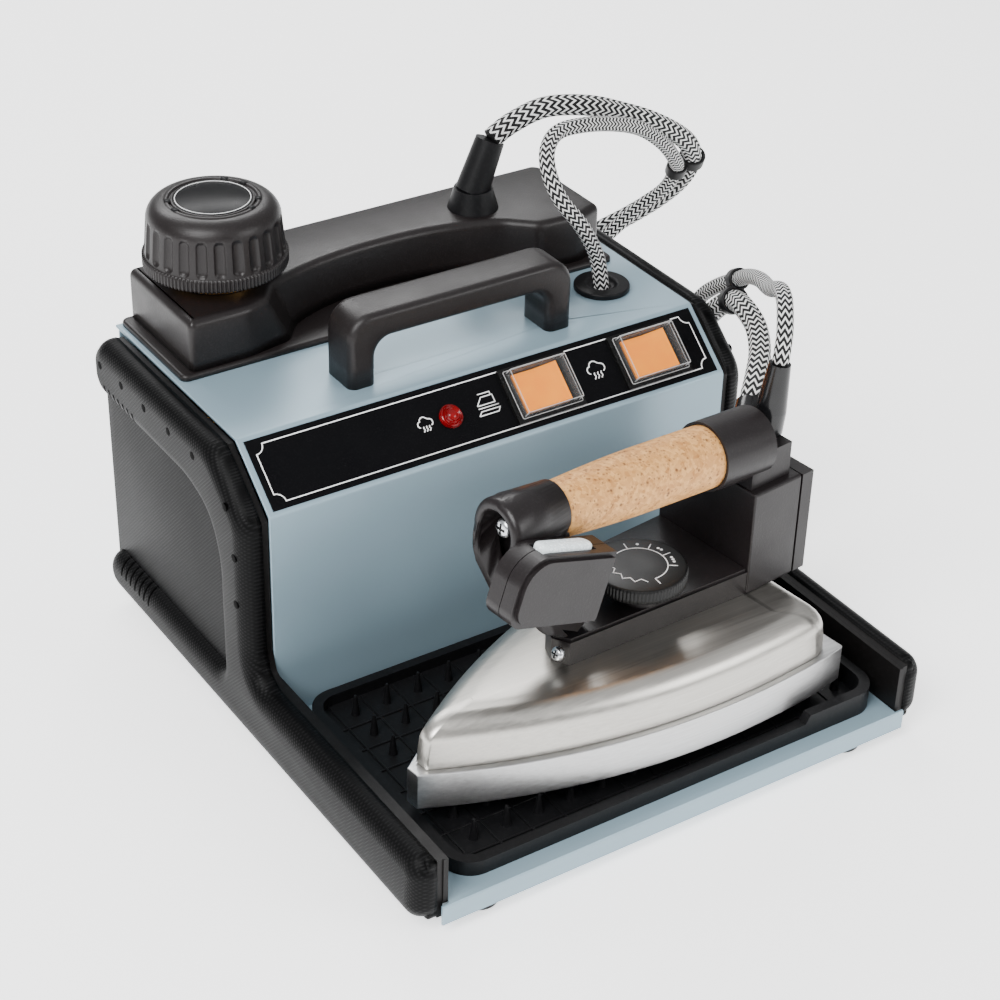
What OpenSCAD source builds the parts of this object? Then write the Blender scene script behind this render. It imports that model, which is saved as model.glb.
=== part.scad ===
// Steam generator iron: a box-shaped boiler unit with a rest mat in front,
// and a dry iron with a cork grip that is fed by a steam hose and a cable.
// X is the width, Y runs from the tray lip to the back, Z is up.
// The origin is the centre of the footprint, on the surface that the feet stand on.

/* [Machine] */
// Width of the painted body between the side frames
body_w = 260; // [256:1:264]
// Depth of the machine from the tray lip to the back
machine_d = 312; // [308:1:316]
// Height of the body's flat top above the table
body_top = 157; // [155:1:160]
// Height of the tray sheet above the table
tray_top = 17; // [16:1:18]
// How far the side frames and covers stand out on each side
side_t = 14.7; // [14:0.1:16]

/* [Control panel] */
// Height of the body's front wall
front_top = 131; // [128:1:133]
// Depth of the sloping panel, measured flat
slope_run = 31; // [29:1:33]
// Travel of each rocker switch, in degrees
rocker_travel = 14; // [10:1:16]

/* [Safety cap] */
// Radius of the cap's ribbed skirt
cap_r = 35.5; // [33:0.5:37]
// Height of the cap
cap_h = 34; // [32:1:36]

/* [Iron] */
// Length of the soleplate
sole_l = 222.6; // [218:0.2:226]
// Half width of the soleplate at its widest place
sole_half_w = 56; // [53:0.5:57]
// Thickness of the soleplate
sole_t = 19.5; // [17:0.5:20]
// Angle of the iron on its rest
iron_yaw = 6.7; // [5:0.1:8]
// Radius of the cork grip at its middle
cork_r = 15.2; // [14:0.2:16]
// Radius of the temperature dial
dial_r = 22.8; // [21:0.1:24]

/* [Hidden] */

// Free gap between two bodies, and running clearance of a turning pair
gap = 0.3;
run = 0.05;

y_front = -machine_d / 2;
y_back = machine_d / 2;
back_face = y_back - 3.2;                 // the back panel is set in between the side frames
face_y = -2;                              // front wall of the body
slope_y = face_y + slope_run;             // where the slope meets the flat top
slope_len = norm([slope_run, body_top - front_top]);
slope_deg = atan2(body_top - front_top, slope_run);
half_w = body_w / 2;
frame_in = half_w + gap;                  // inner face of the side frames
frame_t = 3;
cover_in = frame_in + frame_t + gap;      // inner face of the side covers
side_out = half_w + side_t + gap;         // crown of the covers' raised bands
cover_flat = side_out - 7;                // recessed middle of the covers
sheet_t = 1.5;
cover_holes = [[144, 144], [120, 144.5], [95, 144.5], [69, 145], [44, 145], [13, 134], [6, 110], [6, 84]];
arm_in = half_w - 2;                      // inner face of the two arms
arm_top = 43;
arm_y = y_front + 2;                      // closed front end of the arms
foot_h = 6;

// Safety cap, gland and grommet on the top
cap_at = [-87.5, 127.3];
centre_y = (y_front + cap_at[1] + cap_r) / 2; // middle of the footprint, cap included
housing_top = 186.6;
cap_base = 194;
neck_r = 17;
gland_at = [61.1, 127.8];
grommet_at = [100, 65];

// Boiler
tank_at = [-39, 104, 78];
tank_r = 44;
tank_len = 158;

// Control panel pieces: place along the width, and distance up the slope
switch_at = [28, 93];
switch_s = 20.3;
lamp_at = -23.8;
rocker_pivot = -3.5;                      // height of a rocker's pivot under the panel

// Rest mat
mat_x = [-118, 124];
mat_y = [-147, -5];
mat_floor = 19;
mat_rim = 25;
mat_rim_high = 29.5;
pin_pitch = 17.5;
pin_first = [-97.6, -126.4];
pin_count = [13, 7];
pin_top = 30;

// Iron, in its own frame: u from the tip to the heel, v to the far side, w up
iron_at = [-118.4, -104.7, 30.5];
hood_top = 44;
deck_bottom = 44;
deck_top = 58;
deck_u = [86, 190];
box_u = [190, 221];
box_top = 100;
box_v = [-18.2, 44.5];                    // the box and the deck reach further on the far side
grip_front = [78, 127];
grip_rear = [176, 119.2];
grip_deg = atan2(grip_rear[1] - grip_front[1], grip_rear[0] - grip_front[0]);
grip_len = norm(grip_rear - grip_front);
rod_r = 5;
dial_at = [135, 75];
dial_h = 7.5;
button_tilt = -19;                        // slope of the thumb housing
thumb_corner = [89, 118.5];               // its rear top corner
thumb_len = 54;
thumb_h = 34;

// Hose and cable: diameters, coil and routes
hose_d = 11;
cable_d = 8;
coil_at = [60, 227];
coil_turns = 2.625;
coil_pitch = 11.2;
hose_coil_r = 55;
cable_coil_r = 65;
hose_upper = [
    [72, 128, 222], [84, 128, 228], [104, 127.5, 232.5], [129.5, 126.5, 228.5],
    [153, 129, 219], [178, 129.5, 207], [202.5, 133.5, 190], [215, 142, 173],
    [218, 153.5, 155.5], [212, 165.5, 140], [198.5, 176, 127], [184.5, 181.5, 119.5],
    [167.5, 182, 112], [153, 181.5, 100], [142, 179.5, 84], [131, 177.5, 68], [117, 175, 53],
    [98, 172, 43], [79, 172, 37], [60, 172, 35]];
hose_lower = [
    [99, 266, 5.8], [117, 248, 5.8], [133, 232, 5.8], [145, 215, 5.8], [151, 196, 5.8],
    [152, 174, 5.8], [152, 150, 5.8], [152, 126, 7], [152, 103, 14], [152, 85, 28],
    [152, 73, 48], [152, 65, 72], [152, 58, 98], [152, 49.5, 123], [153, 36.5, 143],
    [149, 18, 158], [140.5, -1.5, 164.5], [133, -20, 164.5], [121, -38, 163],
    [107.5, -52.5, 161], [97, -62.5, 157.6], [94.2, -65.3, 156.1]];
cable_upper = [
    [100, 65, 157], [96, 65, 176], [84.5, 62.5, 196], [73, 66, 212.5], [70.5, 73.5, 224.5],
    [75.5, 83, 232.5], [87.5, 91.5, 236], [107.5, 98, 233], [134, 108, 224], [158, 116, 213],
    [179, 123.5, 197.5], [195, 132, 181], [203, 140, 170], [204.5, 151.5, 152.5],
    [196, 164, 137.5], [184.5, 171, 123.5], [167.5, 172, 112], [151.5, 171, 97.5],
    [139, 169, 82], [127, 167, 66], [111, 163, 52], [94, 162, 42], [76, 162, 38],
    [60, 162, 35]];
cable_lower = [
    [106, 273, 5.5], [124, 255, 4.8], [142.5, 237, 4.3], [155.7, 216.5, 4.3], [161, 195, 4.3],
    [162, 172, 4.3], [162, 148, 4.3], [162, 126, 7], [162, 106, 17], [162, 92, 35],
    [162, 83, 58], [162, 76, 84], [162, 70, 110], [162, 62, 134], [159, 45, 151],
    [154, 22, 167], [147, 5, 178], [138, -14, 187], [128, -33, 193.5], [118.5, -51, 203.5],
    [111, -63, 206], [105, -71.5, 203], [101, -77, 196.5], [98.2, -79.6, 189],
    [97.8, -79.6, 184.8]];

// ---------------------------------------------------------------- helpers

// Flat rectangle with round corners, lower left corner at the origin
module round_rect(w, d, r) {
    translate([r, 0]) square([w - 2 * r, d]);
    translate([0, r]) square([w, d - 2 * r]);
    for (x = [r, w - r], y = [r, d - r]) translate([x, y]) circle(r, $fn = 32);
}

// Slab with round corners between two heights
module round_slab(x, y, z, r) {
    translate([x[0], y[0], z[0]]) linear_extrude(z[1] - z[0])
        round_rect(x[1] - x[0], y[1] - y[0], r);
}

// Outline drawn in the Y-Z plane, made solid between two values of X
module along_x(x0, x1) {
    translate([x0, 0, 0]) rotate([90, 0, 90]) linear_extrude(x1 - x0) children();
}

// Outline drawn in the X-Z plane, made solid between two values of Y
module along_y(y0, y1) {
    translate([0, y1, 0]) rotate([90, 0, 0]) linear_extrude(y1 - y0) children();
}

// Puts a piece on the sloping panel: x along the width, s up the slope
module on_slope(x, s) {
    translate([x, face_y, front_top]) rotate([slope_deg, 0, 0]) translate([0, s, 0]) children();
}

// Puts a piece in the iron's own frame
module on_iron() { translate(iron_at) rotate([0, 0, iron_yaw]) children(); }

// Places a solid of revolution so that its axis runs along the grip
module along_grip() {
    on_iron() translate([grip_front[0], 0, grip_front[1]]) rotate([0, 90 - grip_deg, 0]) children();
}

module ring(outer, inner, h) {
    difference() {
        cylinder(r = outer, h = h, $fn = 64);
        translate([0, 0, -1]) cylinder(r = inner, h = h + 2, $fn = 64);
    }
}

// Pan head screw along +Z: the head's top is at z = 0 and the shank goes down
module screw(head_r, head_h, shank_r, length) {
    translate([0, 0, -head_h]) cylinder(r = head_r, h = head_h, $fn = 32);
    translate([0, 0, -head_h - length]) cylinder(r = shank_r, h = length + 0.01, $fn = 32);
}

// Tube of round section through a list of points
function unit(v) = v / norm(v);
function heading(p, i) =
    unit(p[min(i + 1, len(p) - 1)] - p[max(i - 1, 0)]);
// The side vector is carried along the route so that the tube never twists
function carried(p, i) =
    i == 0 ? unit(cross(heading(p, 0), abs(heading(p, 0)[2]) > 0.9 ? [0, 1, 0] : [0, 0, 1]))
    : let (t = heading(p, i), s = carried(p, i - 1)) unit(s - t * (s * t));
// Rings of n points each, joined into one closed skin of triangles
module skin(points, n) {
    last = len(points) / n - 1;
    polyhedron(points, concat([[for (k = [0:n - 1]) k]],
        [for (i = [0:last - 1], k = [0:n - 1], h = [0, 1]) let (j = (k + 1) % n)
            h == 0 ? [i * n + k, (i + 1) * n + k, (i + 1) * n + j]
                : [i * n + k, (i + 1) * n + j, i * n + j]],
        [[for (k = [n - 1:-1:0]) last * n + k]]), 4);
}
module tube(p, d, n) {
    skin([for (i = [0:len(p) - 1]) let (t = heading(p, i), s = carried(p, i), q = cross(t, s))
        for (k = [0:n - 1]) p[i] + d / 2 * (cos(360 * k / n) * s + sin(360 * k / n) * q)], n);
}

// ---------------------------------------------------------------- case

// Side outline of the machine, shrunk by e on every edge
function side_outline(e) = [
    [arm_y + e, 8 + e], [y_back - 6 - e, 8 + e], [y_back - e, 14 + e],
    [y_back - e, body_top - 10 - e], [y_back - 8 - e, body_top - 1 - e],
    [slope_y + e, body_top - 1 - e], [face_y + e, front_top - 1 - e],
    [face_y + e, arm_top + 14], [face_y - 4 + e, arm_top + 4], [face_y - 12, arm_top - e],
    [arm_y + e, arm_top - e]];

module foot_places() {
    for (x = [-105, 105], y = [y_front + 13, y_back - 14]) translate([x, y, 0]) children();
}

module base_tray() {
    color([0.60, 0.68, 0.72]) difference() {
        union() {
            translate([-arm_in + gap, y_front + 1, tray_top - sheet_t])
                cube([2 * (arm_in - gap), machine_d - 4, sheet_t]);
            along_x(-half_w - 2, half_w + 2) polygon([
                [y_front, tray_top - 10.5], [y_front + sheet_t, tray_top - 11],
                [y_front + sheet_t, tray_top], [y_front + 0.5, tray_top],
                [y_front, tray_top - 0.7]]);
            for (s = [-1, 1]) translate([s * (arm_in - 1.1) - 0.7, y_front + 2, tray_top - 10])
                cube([1.4, machine_d - 8, 9]);
        }
        foot_places() cylinder(r = 2.6, h = 30, $fn = 32);
    }
}

// Front wall, slope and flat top, bent from one sheet
module body_shell() {
    t = sheet_t;
    color([0.60, 0.68, 0.72]) difference() {
        along_x(-half_w, half_w) polygon([
            [face_y, tray_top + 0.05], [face_y, front_top - 1], [face_y + 0.8, front_top + 0.7],
            [slope_y - 0.7, body_top - 0.6], [slope_y + 0.6, body_top],
            [y_back - 0.1, body_top], [y_back - 0.1, body_top - t],
            [slope_y + 0.6, body_top - t], [face_y + t, front_top - 0.6],
            [face_y + t, tray_top + 0.05]]);
        for (x = switch_at) on_slope(x, switch_s) cube([34.6, 24.6, 20], center = true);
        on_slope(lamp_at, switch_s) cylinder(r = 4.6, h = 20, center = true, $fn = 48);
        translate([cap_at[0], cap_at[1], body_top - 10])
            cylinder(r = neck_r + 4, h = 20, $fn = 64);
        translate([gland_at[0], gland_at[1], body_top - 10]) cylinder(r = 8, h = 20, $fn = 48);
        translate([grommet_at[0], grommet_at[1], body_top - 10])
            cylinder(r = 11, h = 20, $fn = 48);
        for (x = [-57, 57]) translate([x, 51, body_top - 10]) cylinder(r = 2.75, h = 20, $fn = 32);
    }
}

module back_panel() {
    color([0.55, 0.63, 0.67]) difference() {
        translate([-half_w, back_face - sheet_t, tray_top + 0.05])
            cube([body_w, sheet_t, body_top - sheet_t - tray_top - 0.1]);
        translate([-90, back_face, 45]) rotate([90, 0, 0]) cylinder(r = 9, h = 10, center = true, $fn = 48);
        for (i = [0:7]) translate([20 + 11 * i, back_face - 5, 108]) cube([4, 10, 30]);
    }
}

// Steel plate that closes each side and carries the arm's smooth inner strip
module side_frame() {
    color([0.10, 0.10, 0.11]) {
        along_x(frame_in, frame_in + frame_t) polygon(side_outline(1.2));
        translate([arm_in, arm_y + 0.5, tray_top + 0.05])
            cube([frame_in - arm_in + 0.2, face_y - arm_y - 0.8, arm_top - tray_top - 1.3]);
    }
}
module side_frame_left() { mirror([1, 0, 0]) side_frame(); }
module side_frame_right() { side_frame(); }

// Raised band along the top, the front and the foot of each cover
module band(e, x0, x1) {
    along_x(x0, x1) difference() {
        polygon(side_outline(e));
        polygon([
            [26 - e, 31 - e], [y_back + 1, 31 - e], [y_back + 1, body_top - 32 + e],
            [slope_y + 22 - e, body_top - 32 + e], [slope_y - 2, body_top - 36 + e],
            [26 - e, body_top - 54 + e]]);
        polygon([[arm_y - 1, arm_top - 1.5], [face_y - 9, arm_top - 1.5], [face_y - 14, arm_top + 9],
            [arm_y - 1, arm_top + 9]]);
    }
}
module side_cover() {
    color([0.09, 0.09, 0.10]) difference() {
        union() {
            along_x(cover_in, cover_flat) polygon(side_outline(0));
            band(0.5, cover_flat - 0.5, side_out - 3);
            band(3, side_out - 3.1, side_out - 1.2);
            band(6, side_out - 1.3, side_out);
        }
        for (p = cover_holes) translate([0, p[0], p[1]]) rotate([0, 90, 0])
            cylinder(r = 2.2, h = 200, $fn = 24);
    }
}
module side_cover_left() { mirror([1, 0, 0]) side_cover(); }
module side_cover_right() { side_cover(); }

// ---------------------------------------------------------------- control panel

module control_overlay() {
    color([0.05, 0.05, 0.06]) difference() {
        on_slope(0, 0) translate([-half_w + 3, 2.4, 0.05]) cube([body_w - 6, slope_len - 4.8, 0.4]);
        for (x = switch_at) on_slope(x, switch_s) cube([34.6, 24.6, 20], center = true);
        on_slope(lamp_at, switch_s) cylinder(r = 4.6, h = 20, center = true, $fn = 48);
    }
}

// Moulded bezel with a hollow body behind the panel
module switch_body(x) {
    color([0.10, 0.10, 0.11]) on_slope(x, switch_s) difference() {
        union() {
            translate([-19.5, -14.5, 0.45]) cube([39, 29, 2]);
            translate([-17, -12, -24]) cube([34, 24, 24.5]);
            for (dx = [-8, 0, 8]) translate([dx - 2.4, -0.4, -32]) cube([4.8, 0.8, 8.1]);
        }
        translate([-14.2, -11, -16]) cube([28.4, 22, 30]);
        translate([0, 0, rocker_pivot]) rotate([90, 0, 0])
            cylinder(r = 1.5, h = 23.2, center = true, $fn = 32);
    }
}
module switch_body_left() { switch_body(switch_at[0]); }
module switch_body_right() { switch_body(switch_at[1]); }

// Rocker with its two pivot stubs; it rests with its left half pressed in
module rocker(x) {
    color([0.96, 0.55, 0.16]) on_slope(x, switch_s)
        translate([0, 0, rocker_pivot]) rotate([0, -rocker_travel / 2, 0]) {
            rotate([90, 0, 0]) linear_extrude(20.6, center = true) polygon([
                [-12.4, 2.2], [-12.4, 7.4], [0, 5.9], [12.4, 7.4], [12.4, 2.2], [3, -4],
                [-3, -4]]);
            rotate([90, 0, 0]) cylinder(r = 1.5 - run, h = 23, center = true, $fn = 32);
        }
}
module rocker_left() { rocker(switch_at[0]); }
module rocker_right() { rocker(switch_at[1]); }

// Clear soft cover over each rocker
module splash_cover(x) {
    color([0.8, 0.85, 0.88, 0.35]) on_slope(x, switch_s) difference() {
        union() {
            translate([-17.6, -12.8, 2.5]) cube([35.2, 25.6, 1]);
            translate([-16, -11.8, 3.4]) cube([32, 23.6, 5.2]);
        }
        translate([-15.2, -11, 2]) cube([30.4, 22, 5.8]);
    }
}
module splash_cover_left() { splash_cover(switch_at[0]); }
module splash_cover_right() { splash_cover(switch_at[1]); }

module lamp_holder() {
    color([0.12, 0.03, 0.03]) on_slope(lamp_at, switch_s) difference() {
        union() {
            translate([0, 0, 0.45]) cylinder(r = 6, h = 1.3, $fn = 48);
            translate([0, 0, -18]) cylinder(r = 4.5, h = 18.5, $fn = 48);
        }
        translate([0, 0, -15]) cylinder(r = 3.6, h = 30, $fn = 48);
    }
}

module lamp_lens() {
    color([0.70, 0.02, 0.05]) on_slope(lamp_at, switch_s) {
        translate([0, 0, -6]) cylinder(r = 3.55, h = 7.8, $fn = 48);
        translate([0, 0, 1.8]) cylinder(r = 4.9, h = 1.2, $fn = 48);
        translate([0, 0, 3]) cylinder(r1 = 4.4, r2 = 2.2, h = 1.6, $fn = 48);
    }
}

// ---------------------------------------------------------------- top fittings

module carry_handle() {
    color([0.12, 0.12, 0.125]) difference() {
        along_y(39, 63) difference() {
            union() {
                translate([-63.5, body_top + 0.05]) square([127, 20]);
                translate([-63.5, 160]) round_rect(127, 34.5, 11.5);
            }
            translate([-49, 145]) round_rect(98, 35.5, 9.5);
        }
        for (x = [-57, 57]) translate([x, 51, body_top - 1]) cylinder(r = 2.4, h = 16, $fn = 32);
    }
}

module handle_screws() {
    color("silver") for (x = [-57, 57]) translate([x, 51, body_top - sheet_t - 0.05])
        mirror([0, 0, 1]) translate([0, 0, 2.5]) screw(4.5, 2.5, 2.35, 15);
}

// Plan of the moulding on the top: round box on the left, hand recess, gland box on the right
function recess(k) = [for (a = [0:5]) let (x = -62 + a * 25.6)
    [x, 118 - k - 20 * pow(abs(x - 2) / 78, 2.4)]];
module housing_plan(k) {
    polygon(concat(
        [[-121.5 + k, 152 - k], [-121.5 + k, 92 + k], [-118 + k, 88.5 + k],
            [-90, 88.5 + k], [-72, 93 + k]],
        recess(-k),
        [[80, 93 + k], [104, 91 + k], [120 - k, 97 + k], [120 - k, 152 - k],
            [116 - k, 155.9 - k], [-117.5 + k, 155.9 - k]]));
}
module cap_housing() {
    color([0.10, 0.10, 0.105]) difference() {
        union() {
            round_slab([-127.5, 122.7], [86.5, 155.9], [body_top + 0.05, body_top + 3], 6);
            translate([0, 0, body_top + 2.9]) linear_extrude(26) housing_plan(0);
            translate([0, 0, body_top + 28]) linear_extrude(housing_top - body_top - 28)
                housing_plan(1.8);
        }
        translate([0, 0, body_top - 1]) linear_extrude(housing_top - body_top - 3) housing_plan(4.6);
        translate([cap_at[0], cap_at[1], 150]) cylinder(r = neck_r + 0.4, h = 60, $fn = 64);
        translate([gland_at[0], gland_at[1], 150]) cylinder(r = 8, h = 60, $fn = 48);
    }
}

// Brass neck that the safety cap screws into, cut to sit on the boiler
module filler_neck() {
    color([0.72, 0.52, 0.25]) difference() {
        union() {
            translate([cap_at[0], cap_at[1], 90]) cylinder(r = neck_r, h = cap_base - 90, $fn = 64);
            translate([cap_at[0], cap_at[1], housing_top + 0.3])
                cylinder(r = 22, h = 3, $fn = 64);
        }
        translate([cap_at[0], cap_at[1], 60]) cylinder(r = 12, h = 150, $fn = 64);
        tank_body(tank_r + 0.05, tank_len + 1);
    }
}

module tank_body(r, l) {
    translate([tank_at[0] - l / 2, tank_at[1], tank_at[2]]) rotate([0, 90, 0])
        cylinder(r = r, h = l, $fn = 96);
}

module boiler_tank() {
    color([0.66, 0.67, 0.68]) difference() {
        union() {
            tank_body(tank_r, tank_len);
            for (x = [-100, 10]) translate([x, 72, tray_top + 0.05]) cube([3, 64, 46]);
        }
        tank_body(tank_r - 2, tank_len - 4);
        translate([cap_at[0], cap_at[1], 80]) cylinder(r = 12, h = 60, $fn = 64);
        translate([tank_at[0] - tank_len / 2 - 1, tank_at[1], 66]) rotate([0, 90, 0])
            cylinder(r = 18, h = 10, $fn = 48);
        translate([tank_at[0] + tank_len / 2 - 5, gland_at[1] - 8, 84]) rotate([0, 90, 0])
            cylinder(r = 4, h = 10, $fn = 32);
    }
}

// Screw-in element: flange outside the tank, heating loop inside it
module boiler_element() {
    x0 = tank_at[0] - tank_len / 2;
    color([0.55, 0.40, 0.30]) translate([x0, tank_at[1], 66]) rotate([0, 90, 0]) {
        translate([0, 0, -3.05]) cylinder(r = 23, h = 3, $fn = 48);
        translate([0, 0, -0.1]) cylinder(r = 17.8, h = 8, $fn = 48);
        for (y = [-9, 9]) translate([0, y, -7]) cylinder(r = 2, h = 5, $fn = 24);
        for (y = [-9, 9]) translate([0, y, 7]) cylinder(r = 3.5, h = 95, $fn = 24);
        translate([0, 0, 102]) rotate([0, 90, 90]) rotate([90, 0, 0])
            rotate([0, 90, 0]) rotate_extrude(angle = 180, $fn = 48) translate([9, 0])
                circle(3.5, $fn = 24);
    }
}

module steam_valve() {
    color([0.70, 0.55, 0.30]) {
        translate([gland_at[0] - 13, gland_at[1] - 14, 66]) cube([26, 26, 30]);
        translate([gland_at[0] - 20.5, gland_at[1] - 8, 84]) rotate([0, 90, 0])
            cylinder(r = 3.9, h = 8, $fn = 32);
        translate([gland_at[0] + 12.9, gland_at[1] - 2, 80]) rotate([0, 90, 0])
            cylinder(r = 14, h = 34, $fn = 48);
    }
}

module steam_pipe() {
    color([0.75, 0.45, 0.30]) translate([gland_at[0], gland_at[1], 96.05])
        ring(4, 3, housing_top - 96.05 - 3);
}

module pressure_switch() {
    color([0.20, 0.20, 0.22]) {
        translate([-20, tank_at[1], tank_at[2] + tank_r + 0.05]) cylinder(r = 6, h = 10, $fn = 6);
        translate([-20, tank_at[1], tank_at[2] + tank_r + 10]) cylinder(r = 14, h = 16, $fn = 48);
    }
}

module terminal_block() {
    color([0.85, 0.85, 0.80]) difference() {
        translate([95, 40, tray_top + 0.05]) cube([24, 70, 16]);
        for (i = [0:5]) translate([107, 46 + 11.6 * i, 25]) cylinder(r = 2.5, h = 20, $fn = 24);
    }
}

// Cone on the housing with the bent rubber sleeve that guides the hose
module hose_gland() {
    color([0.10, 0.10, 0.11]) difference() {
        union() {
            translate([gland_at[0], gland_at[1], housing_top + 0.05])
                cylinder(r1 = 13.3, r2 = 10, h = 11, $fn = 64);
            translate([gland_at[0], gland_at[1], housing_top + 11]) rotate([0, 22, 0])
                translate([0, 0, -2]) cylinder(r1 = 8.8, r2 = 7.6, h = 28, $fn = 48);
        }
        translate([gland_at[0], gland_at[1], housing_top - 1]) cylinder(r = 5, h = 10, $fn = 48);
    }
}

module cable_grommet() {
    color([0.08, 0.08, 0.08]) translate([grommet_at[0], grommet_at[1], 0]) difference() {
        union() {
            translate([0, 0, body_top + 0.05]) cylinder(r = 14.5, h = 3, $fn = 64);
            translate([0, 0, body_top - sheet_t - 1]) cylinder(r = 10.9, h = 3, $fn = 64);
            translate([0, 0, body_top - sheet_t - 2.5]) cylinder(r = 12.5, h = 2.4, $fn = 64);
        }
        translate([0, 0, body_top - 10]) cylinder(r = 4.3, h = 20, $fn = 48);
        translate([0, 0, body_top + 1.3]) cylinder(r1 = 6.4, r2 = 8.4, h = 2, $fn = 48);
    }
}

// Gland on the back that a mains lead goes through
module mains_gland() {
    color([0.08, 0.08, 0.08]) translate([-90, back_face, 45]) rotate([-90, 0, 0]) difference() {
        union() {
            translate([0, 0, -3.5]) cylinder(r = 11, h = 1.9, $fn = 48);
            translate([0, 0, -1.7]) cylinder(r = 8.9, h = 2, $fn = 48);
            translate([0, 0, 0.05]) cylinder(r = 12, h = 3, $fn = 48);
        }
        translate([0, 0, -5]) cylinder(r = 4.5, h = 20, $fn = 48);
    }
}

// ---------------------------------------------------------------- rest mat and feet

module rest_mat() {
    w = 5;
    x0 = mat_x[0];
    x1 = mat_x[1];
    y0 = mat_y[0];
    y1 = mat_y[1];
    color([0.09, 0.09, 0.095]) {
        difference() {
            union() {
                round_slab(mat_x, mat_y, [tray_top + 0.05, mat_rim], 14);
                intersection() {
                    round_slab(mat_x, mat_y, [mat_rim - 0.1, mat_rim_high], 14);
                    along_y(y0 - 1, y1 + 1) polygon([[74, 20], [80, mat_rim_high + 1],
                        [x1 + 1, mat_rim_high + 1], [x1 + 1, 20]]);
                }
            }
            round_slab([x0 + w, x1 - w], [y0 + w, y1 - w], [mat_floor, 60], 10);
        }
        for (i = [0:pin_count[0] - 1], j = [0:pin_count[1] - 1]) {
            x = pin_first[0] + pin_pitch * i;
            y = pin_first[1] + pin_pitch * j;
            if (x > x0 + 14 && x < x1 - 9 && y < y1 - 12)
                translate([x, y, mat_floor - 0.5])
                    cylinder(r1 = 2.3, r2 = 0.7, h = pin_top - mat_floor + 0.5, $fn = 16);
        }
    }
}

module feet() {
    color([0.06, 0.06, 0.06]) foot_places() difference() {
        cylinder(r1 = 9, r2 = 10.5, h = tray_top - sheet_t - 0.05, $fn = 48);
        translate([0, 0, -1]) cylinder(r = 5.5, h = 5, $fn = 32);
        translate([0, 0, -1]) cylinder(r = 2.5, h = 40, $fn = 32);
    }
}

module foot_screws() {
    color("silver") foot_places() translate([0, 0, 3.95]) mirror([0, 0, 1])
        translate([0, 0, 2.5]) screw(4.5, 2.5, 2.4, 12.9);
}

// ---------------------------------------------------------------- safety cap

module cap_plug() {
    color([0.72, 0.52, 0.25]) translate([cap_at[0], cap_at[1], 0]) {
        translate([0, 0, cap_base - 16]) cylinder(r = 11.6, h = 16.4, $fn = 64);
        translate([0, 0, cap_base + 2.4]) cylinder(r = 16, h = 4, $fn = 64);
        translate([0, 0, cap_base + 6]) cylinder(r = 6 - run, h = 16, $fn = 48);
        translate([0, 0, cap_base + 0.3]) cylinder(r = 13, h = 2.2, $fn = 48);
    }
}

module cap_gasket() {
    color([0.55, 0.12, 0.08]) translate([cap_at[0], cap_at[1], cap_base + 0.3])
        ring(17, 13.05, 2);
}

module cap_shell() {
    color([0.12, 0.12, 0.125]) translate([cap_at[0], cap_at[1], cap_base]) difference() {
        union() {
            cylinder(r = cap_r, h = 5, $fn = 96);
            translate([0, 0, 4.9]) cylinder(r1 = cap_r - 2, r2 = cap_r - 4, h = cap_h - 11, $fn = 96);
            translate([0, 0, cap_h - 6.2]) cylinder(r1 = cap_r - 4, r2 = cap_r - 12, h = 6.2, $fn = 96);
        }
        for (a = [0:23]) rotate([0, 0, 15 * a]) translate([cap_r - 1.8, 0, 6])
            cylinder(r = 1.6, h = 19, $fn = 16);
        translate([0, 0, cap_h - 1.5]) ring(cap_r - 13, cap_r - 16, 5);
        translate([0, 0, -1]) cylinder(r = cap_r - 8, h = 11, $fn = 64);
        translate([0, 0, 9]) cylinder(r = 6, h = 14, $fn = 48);
    }
}

// ---------------------------------------------------------------- iron

// Half width of the boat-shaped sole at a distance u behind the tip
function boat(u) = 2.5 + (sole_half_w - 2.5) * (1 - pow(1 - min(u / 195, 1), 2.25))
    - (u > 195 ? 2 * pow((u - 195) / 27, 2) : 0);
boat_steps = 22;
function boat_outline(e, back) =
    let (front = 2 + e * 1.6)
    let (side = [for (i = [0:boat_steps]) let (u = front + (sole_l - back - front)
        * pow(i / boat_steps, 1.4)) [u, boat(u) - e]])
    concat([for (p = side) [p[0], -max(p[1], 1)]],
        [for (i = [boat_steps:-1:0]) [side[i][0], max(side[i][1], 1)]]);

module soleplate() {
    color([0.75, 0.75, 0.76]) on_iron() difference() {
        linear_extrude(sole_t) polygon(boat_outline(0, 0));
        translate([0, 0, sole_t - 6]) linear_extrude(10) polygon(boat_outline(10, 10));
    }
}

// Cast-in heating loop and the steam chamber's lid
module sole_element() {
    color([0.45, 0.42, 0.40]) on_iron() {
        translate([60, -22, sole_t - 5.95]) cube([130, 44, 8]);
        translate([70, -8, sole_t]) cube([100, 16, 8]);
    }
}

// Pressed steel hood: upright sides and a broad round shoulder
function hood_ring(e, z) = [for (p = boat_outline(e, e + 3)) [p[0], p[1], z]];
module loft(rings) { skin([for (r = rings) each r], len(rings[0])); }
module iron_hood() {
    color([0.72, 0.72, 0.72]) on_iron() difference() {
        loft([hood_ring(3.2, sole_t + 0.05), hood_ring(3.8, 32), hood_ring(5, 37),
            hood_ring(7.5, 40.8), hood_ring(10.5, 43), hood_ring(14.5, hood_top)]);
        loft([hood_ring(5.2, sole_t - 0.5), hood_ring(5.8, 30), hood_ring(7.5, 35.5),
            hood_ring(10, 39.5), hood_ring(15.5, hood_top - 1.5)]);
        translate([dial_at[0], 0, 30]) cylinder(r = 6.5, h = 20, $fn = 48);
    }
}

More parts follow.
